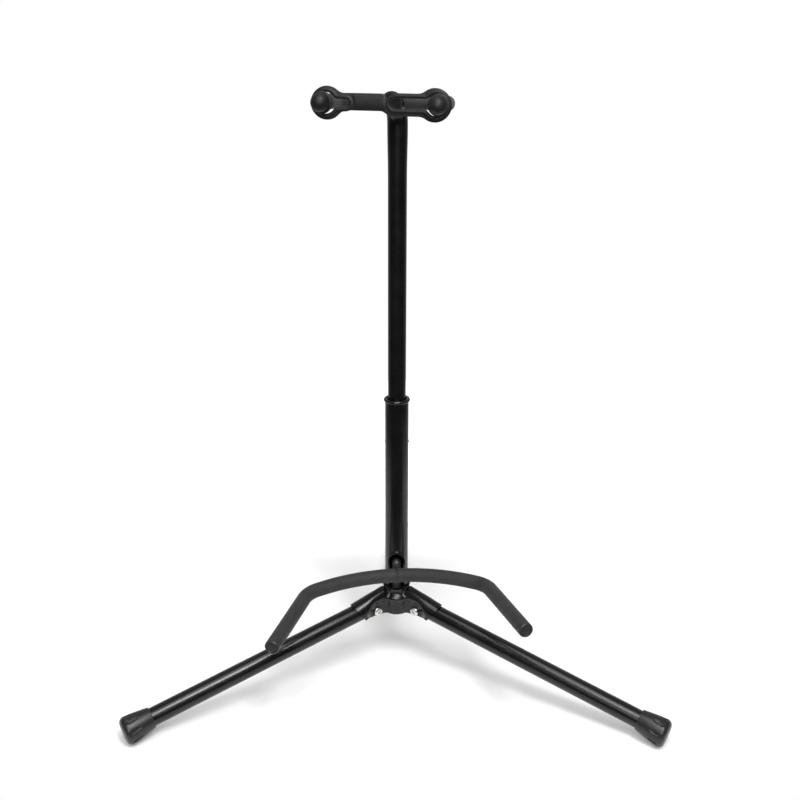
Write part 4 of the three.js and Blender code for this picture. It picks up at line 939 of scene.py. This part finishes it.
def loop_fillet(edge, loop):
    """Centre of the fillet between a loop and an edge, from the loop's, and the angle where they meet."""
    rise = edge + STRAP_FILLET
    turn = asin(rise / (loop + STRAP_FILLET))
    return rise, (loop + STRAP_FILLET) * cos(turn), degrees(turn)


def closed_line(pairs):
    """The points of a closed line, without those that lie on the one before."""
    followed = zip(pairs, pairs[-1:] + pairs[:-1])
    return [p for p, before in followed if (Vector(p) - Vector(before)).length > 0.01]


def strap_outline():
    loop = strap_hole + STRAP_BEAD - STRAP_PROUD
    wide_top, narrow_top, narrow_bottom, wide_bottom = [
        loop_fillet(edge, loop) for edge in (WIDE_TOP, NARROW_TOP, NARROW_BOTTOM, WIDE_BOTTOM)]

    def corner(run, rise, start, end):
        return arc(run, rise, STRAP_FILLET, start, end, 12)

    line = arc(strap_centre, 0, loop, wide_bottom[2] - 180, 180 - wide_top[2], 64)
    line += corner(strap_centre - wide_top[1], wide_top[0], -wide_top[2], -90)
    line += [(NOTCH, WIDE_TOP), (NOTCH, NARROW_TOP)]
    line += corner(narrow_top[1] - strap_centre, narrow_top[0], -90, narrow_top[2] - 180)
    line += arc(-strap_centre, 0, loop, narrow_top[2], 360 - narrow_bottom[2], 64)
    line += corner(narrow_bottom[1] - strap_centre, -narrow_bottom[0], 180 - narrow_bottom[2], 90)
    for share in [k / 12 for k in range(13)]:
        line.append((mix(STEP_FROM, STEP_TO, share), -mix(NARROW_BOTTOM, WIDE_BOTTOM, smooth(share))))
    return closed_line(line + corner(strap_centre - wide_bottom[1], -wide_bottom[0], 90, wide_bottom[2]))


def keyhole_edge(out):
    key = KEY_HEIGHT / 2
    return closed_line(arc(-strap_centre - STRAP_THICKEN, 0, strap_hole - STRAP_THICKEN + out, KEY_SPREAD,
                           360 - KEY_SPREAD, 64)
                       + arc(-KEY_END - key, 0, key + out, -90, 90, 16))


def slot_edge(out):
    loop, half = strap_hole - STRAP_THICKEN + out, (STRAP_SLOT_TOP + STRAP_SLOT_BOTTOM) / 2
    top, bottom = [degrees(asin((edge + out) / loop)) for edge in (STRAP_SLOT_TOP, STRAP_SLOT_BOTTOM)]
    return closed_line(arc(strap_centre + STRAP_THICKEN, 0, loop, bottom - 180, 180 - top, 64)
                       + arc(STRAP_SLOT_START + half, STRAP_SLOT_TOP - half, half + out, 90, 270, 16))


def plate(name, lines, thickness):
    """A flat plate of an outline with holes, still in millimetres about its own middle."""
    curve = bpy.data.curves.new(name, "CURVE")
    curve.dimensions, curve.fill_mode, curve.extrude = "2D", "BOTH", thickness / 2
    for line in lines:
        spline = curve.splines.new("POLY")
        spline.points.add(len(line) - 1)
        for point, (x, y) in zip(spline.points, line):
            point.co = (x, y, 0, 1)
        spline.use_cyclic_u = True
    shape = add(name, curve)
    graph = bpy.context.evaluated_depsgraph_get()
    mesh = bpy.data.meshes.new_from_object(shape.evaluated_get(graph))
    bpy.data.objects.remove(shape)
    made = bmesh.new()
    made.from_mesh(mesh)
    bmesh.ops.remove_doubles(made, verts=made.verts, dist=0.002)
    bmesh.ops.recalc_face_normals(made, faces=made.faces)
    made.to_mesh(mesh)
    made.free()
    return add(name, mesh)


def bead_along(line):
    rings = []
    for index, (x, y) in enumerate(line):
        before, after = line[index - 1], line[(index + 1) % len(line)]
        across = Vector((after[1] - before[1], before[0] - after[0], 0)).normalized()
        rings.append(ellipse(Vector((x, y, 0)), across, UP, STRAP_BEAD / 2, STRAP_BEAD / 2, 20))
    return loft("bead", rings, LOCAL, ends=False)


def neck_strap():
    lines = [keyhole_edge(STRAP_BEAD / 2), slot_edge(STRAP_BEAD / 2)]
    band = plate("neck_strap_rubber", [strap_outline(), *lines], 2 * STRAP_WEB)
    floor_height = WIDE_TOP - NOTCH_DEPTH
    corners = [(NOTCH - NOTCH_BOTTOM / 2, floor_height), (NOTCH + NOTCH_BOTTOM / 2, floor_height),
               (NOTCH + NOTCH_TOP / 2, WIDE_TOP), (NOTCH + NOTCH_TOP / 2, WIDE_TOP + 3),
               (NOTCH - NOTCH_TOP / 2, WIDE_TOP + 3), (NOTCH - NOTCH_TOP / 2, WIDE_TOP)]
    levels = (-STRAP_THICK, STRAP_THICK)
    carve(band, [loft("notch", [[Vector((x, y, z)) for x, y in corners] for z in levels], LOCAL)])
    crown, steps, fade = [], 24, 3
    for k in range(steps + 1):
        x = mix(-KEY_END + 1.3, STRAP_SLOT_START - 1.2, k / steps)
        share = smooth(min(k, steps - k, fade) / fade)
        step = smooth((x - STEP_FROM) / (STEP_TO - STEP_FROM))
        top = NARROW_TOP if x < NOTCH else floor_height
        bottom = mix(NARROW_BOTTOM, WIDE_BOTTOM, step)
        half, thick = (top + bottom) / 2 - 0.1, mix(0.3, STRAP_BEAD / 2, share)
        crown.append(ellipse(Vector((x, (top - bottom) / 2, 0)), Vector((0, 1, 0)), UP, half, thick, 40))
    whole = bmesh.new()
    whole.from_mesh(band.data)
    pad = loft("crown", crown, LOCAL)
    whole.from_mesh(pad.data)
    bpy.data.objects.remove(pad)
    for line in lines:
        bead = bead_along(line)
        whole.from_mesh(bead.data)
        bpy.data.objects.remove(bead)
    whole.to_mesh(band.data)
    whole.free()
    melt = band.modifiers.new("melt", "REMESH")
    melt.mode, melt.voxel_size = "VOXEL", STRAP_VOXEL
    even = band.modifiers.new("even", "SMOOTH")
    even.factor, even.iterations = 0.6, 14
    settle(band)
    band.data.transform(WORLD @ STRAP)
    band.data.shade_smooth()
    return band


dress(neck_strap(), "neck_strap", STRAP_RUBBER_SHADED)


# Studio: a pale floor, a white surround and soft lamps

FLOOR_SIDE, FLOOR_FRONT, FLOOR_BACK, BACKDROP = 0.58, 0.3, 0.9, 2.5
FLOOR_WHITE, FLOOR_GLOW, AMBIENT = 0.91, 0.03, 0.34
FADE_FRONT, FADE_BACK, FADE_BACK_END, FADE_SIDE = -0.262, 0.14, 0.34, 0.36


def stage_material(name):
    material = bpy.data.materials.new(name)
    material.use_nodes = True
    nodes = material.node_tree.nodes
    nodes.remove(nodes["Principled BSDF"])
    return material, nodes, material.node_tree.links


def floor_material():
    """Matt and pale. For the camera it runs into the white background towards its edges."""
    material, nodes, links = stage_material("studio_floor")
    matt = nodes.new("ShaderNodeBsdfDiffuse")
    matt.inputs["Color"].default_value = (FLOOR_WHITE, FLOOR_WHITE, FLOOR_WHITE, 1)
    place = nodes.new("ShaderNodeSeparateXYZ")
    links.new(nodes.new("ShaderNodeTexCoord").outputs["Object"], place.inputs[0])

    def maths(how, first, second=None):
        node = nodes.new("ShaderNodeMath")
        node.operation = how
        links.new(first, node.inputs[0])
        if second is not None:
            links.new(second, node.inputs[1])
        return node.outputs[0]

    front = ramp(nodes, links, place.outputs["Y"], FADE_FRONT, -FLOOR_FRONT, FLOOR_GLOW, 1)
    back = ramp(nodes, links, place.outputs["Y"], FADE_BACK, FADE_BACK_END, FLOOR_GLOW, 1)
    side = ramp(nodes, links, maths("ABSOLUTE", place.outputs["X"]), FADE_SIDE, FLOOR_SIDE, FLOOR_GLOW, 1)
    for edge in (front, back, side):
        edge.node.interpolation_type = "SMOOTHSTEP"
    fade = maths("MAXIMUM", maths("MAXIMUM", front, back), side)
    glow = nodes.new("ShaderNodeEmission")
    links.new(maths("MULTIPLY", nodes.new("ShaderNodeLightPath").outputs["Is Camera Ray"], fade),
              glow.inputs["Strength"])
    both = nodes.new("ShaderNodeAddShader")
    links.new(matt.outputs[0], both.inputs[0])
    links.new(glow.outputs[0], both.inputs[1])
    links.new(both.outputs[0], nodes["Material Output"].inputs["Surface"])
    return material


def backdrop_material():
    """White for the camera alone, so that it hides what hangs below the floor and lights nothing."""
    material, nodes, links = stage_material("studio_backdrop")
    white, clear = nodes.new("ShaderNodeEmission"), nodes.new("ShaderNodeBsdfTransparent")
    both = nodes.new("ShaderNodeMixShader")
    links.new(nodes.new("ShaderNodeLightPath").outputs["Is Camera Ray"], both.inputs["Fac"])
    links.new(clear.outputs[0], both.inputs[1])
    links.new(white.outputs[0], both.inputs[2])
    links.new(both.outputs[0], nodes["Material Output"].inputs["Surface"])
    return material


def stage_sheet(name, half, front, back, height, material):
    """A flat stage piece, a little below the feet so that it doesn't share their facets."""
    mesh = bpy.data.meshes.new(name)
    mesh.from_pydata([(-half, -front, 0), (half, -front, 0), (half, back, 0), (-half, back, 0)], [],
                     [(0, 1, 2, 3)])
    mesh.materials.append(material)
    sheet = add(name, mesh)
    sheet.location.z = height


stage_sheet("studio_floor", FLOOR_SIDE, FLOOR_FRONT, FLOOR_BACK, -0.0003, floor_material())
stage_sheet("studio_backdrop", BACKDROP, BACKDROP, BACKDROP, -0.0009, backdrop_material())

world = bpy.data.worlds.new("studio")
bpy.context.scene.world = world
world.use_nodes = True
nodes, links = world.node_tree.nodes, world.node_tree.links
split = nodes.new("ShaderNodeSeparateXYZ")
links.new(nodes.new("ShaderNodeTexCoord").outputs["Generated"], split.inputs[0])
ambient = nodes.new("ShaderNodeBackground")
ambient.inputs["Strength"].default_value = AMBIENT
mirror = nodes.new("ShaderNodeBackground")  # what the gloss reflects: dark in front and paler behind
links.new(ramp(nodes, links, split.outputs["Y"], -0.1, 0.9, 0.04, 0.55), mirror.inputs["Strength"])
white = nodes.new("ShaderNodeBackground")
white.inputs["Strength"].default_value = 1
for lamp in (ambient, mirror, white):
    lamp.inputs["Color"].default_value = (1, 1, 1, 1)
path = nodes.new("ShaderNodeLightPath")
glossy = nodes.new("ShaderNodeMixShader")
seen = nodes.new("ShaderNodeMixShader")
links.new(path.outputs["Is Glossy Ray"], glossy.inputs[0])
links.new(ambient.outputs[0], glossy.inputs[1])
links.new(mirror.outputs[0], glossy.inputs[2])
links.new(path.outputs["Is Camera Ray"], seen.inputs[0])
links.new(glossy.outputs[0], seen.inputs[1])
links.new(white.outputs[0], seen.inputs[2])
links.new(seen.outputs[0], nodes["World Output"].inputs["Surface"])


def softbox(name, place, target, width, height, power):
    data = bpy.data.lights.new(name, "AREA")
    data.shape, data.size, data.size_y, data.energy = "RECTANGLE", width, height, power
    lamp = add(name, data)
    lamp.location = place
    lamp.rotation_euler = (Vector(target) - Vector(place)).to_track_quat("-Z", "Y").to_euler()


softbox("front", (-0.1, -2.2, 1.2), (0, 0, 0.1), 1.3, 0.7, 25)
softbox("key", (0.36, -1.2, 1.9), (-0.16, -0.12, 0.06), 0.36, 0.75, 24)
softbox("second", (-0.2, -1.2, 1.9), (0.2, -0.12, 0.06), 0.36, 0.75, 8)
softbox("top", (0, -0.35, 2.4), (0, 0, 0.3), 0.9, 0.9, 9)
softbox("left", (-2.0, -1.1, 1.5), (0, 0, 0.3), 0.7, 1.4, 3)
softbox("right", (2.1, -0.9, 1.4), (0, 0, 0.3), 0.7, 1.4, 3)

bpy.context.scene.view_settings.view_transform = "Standard"
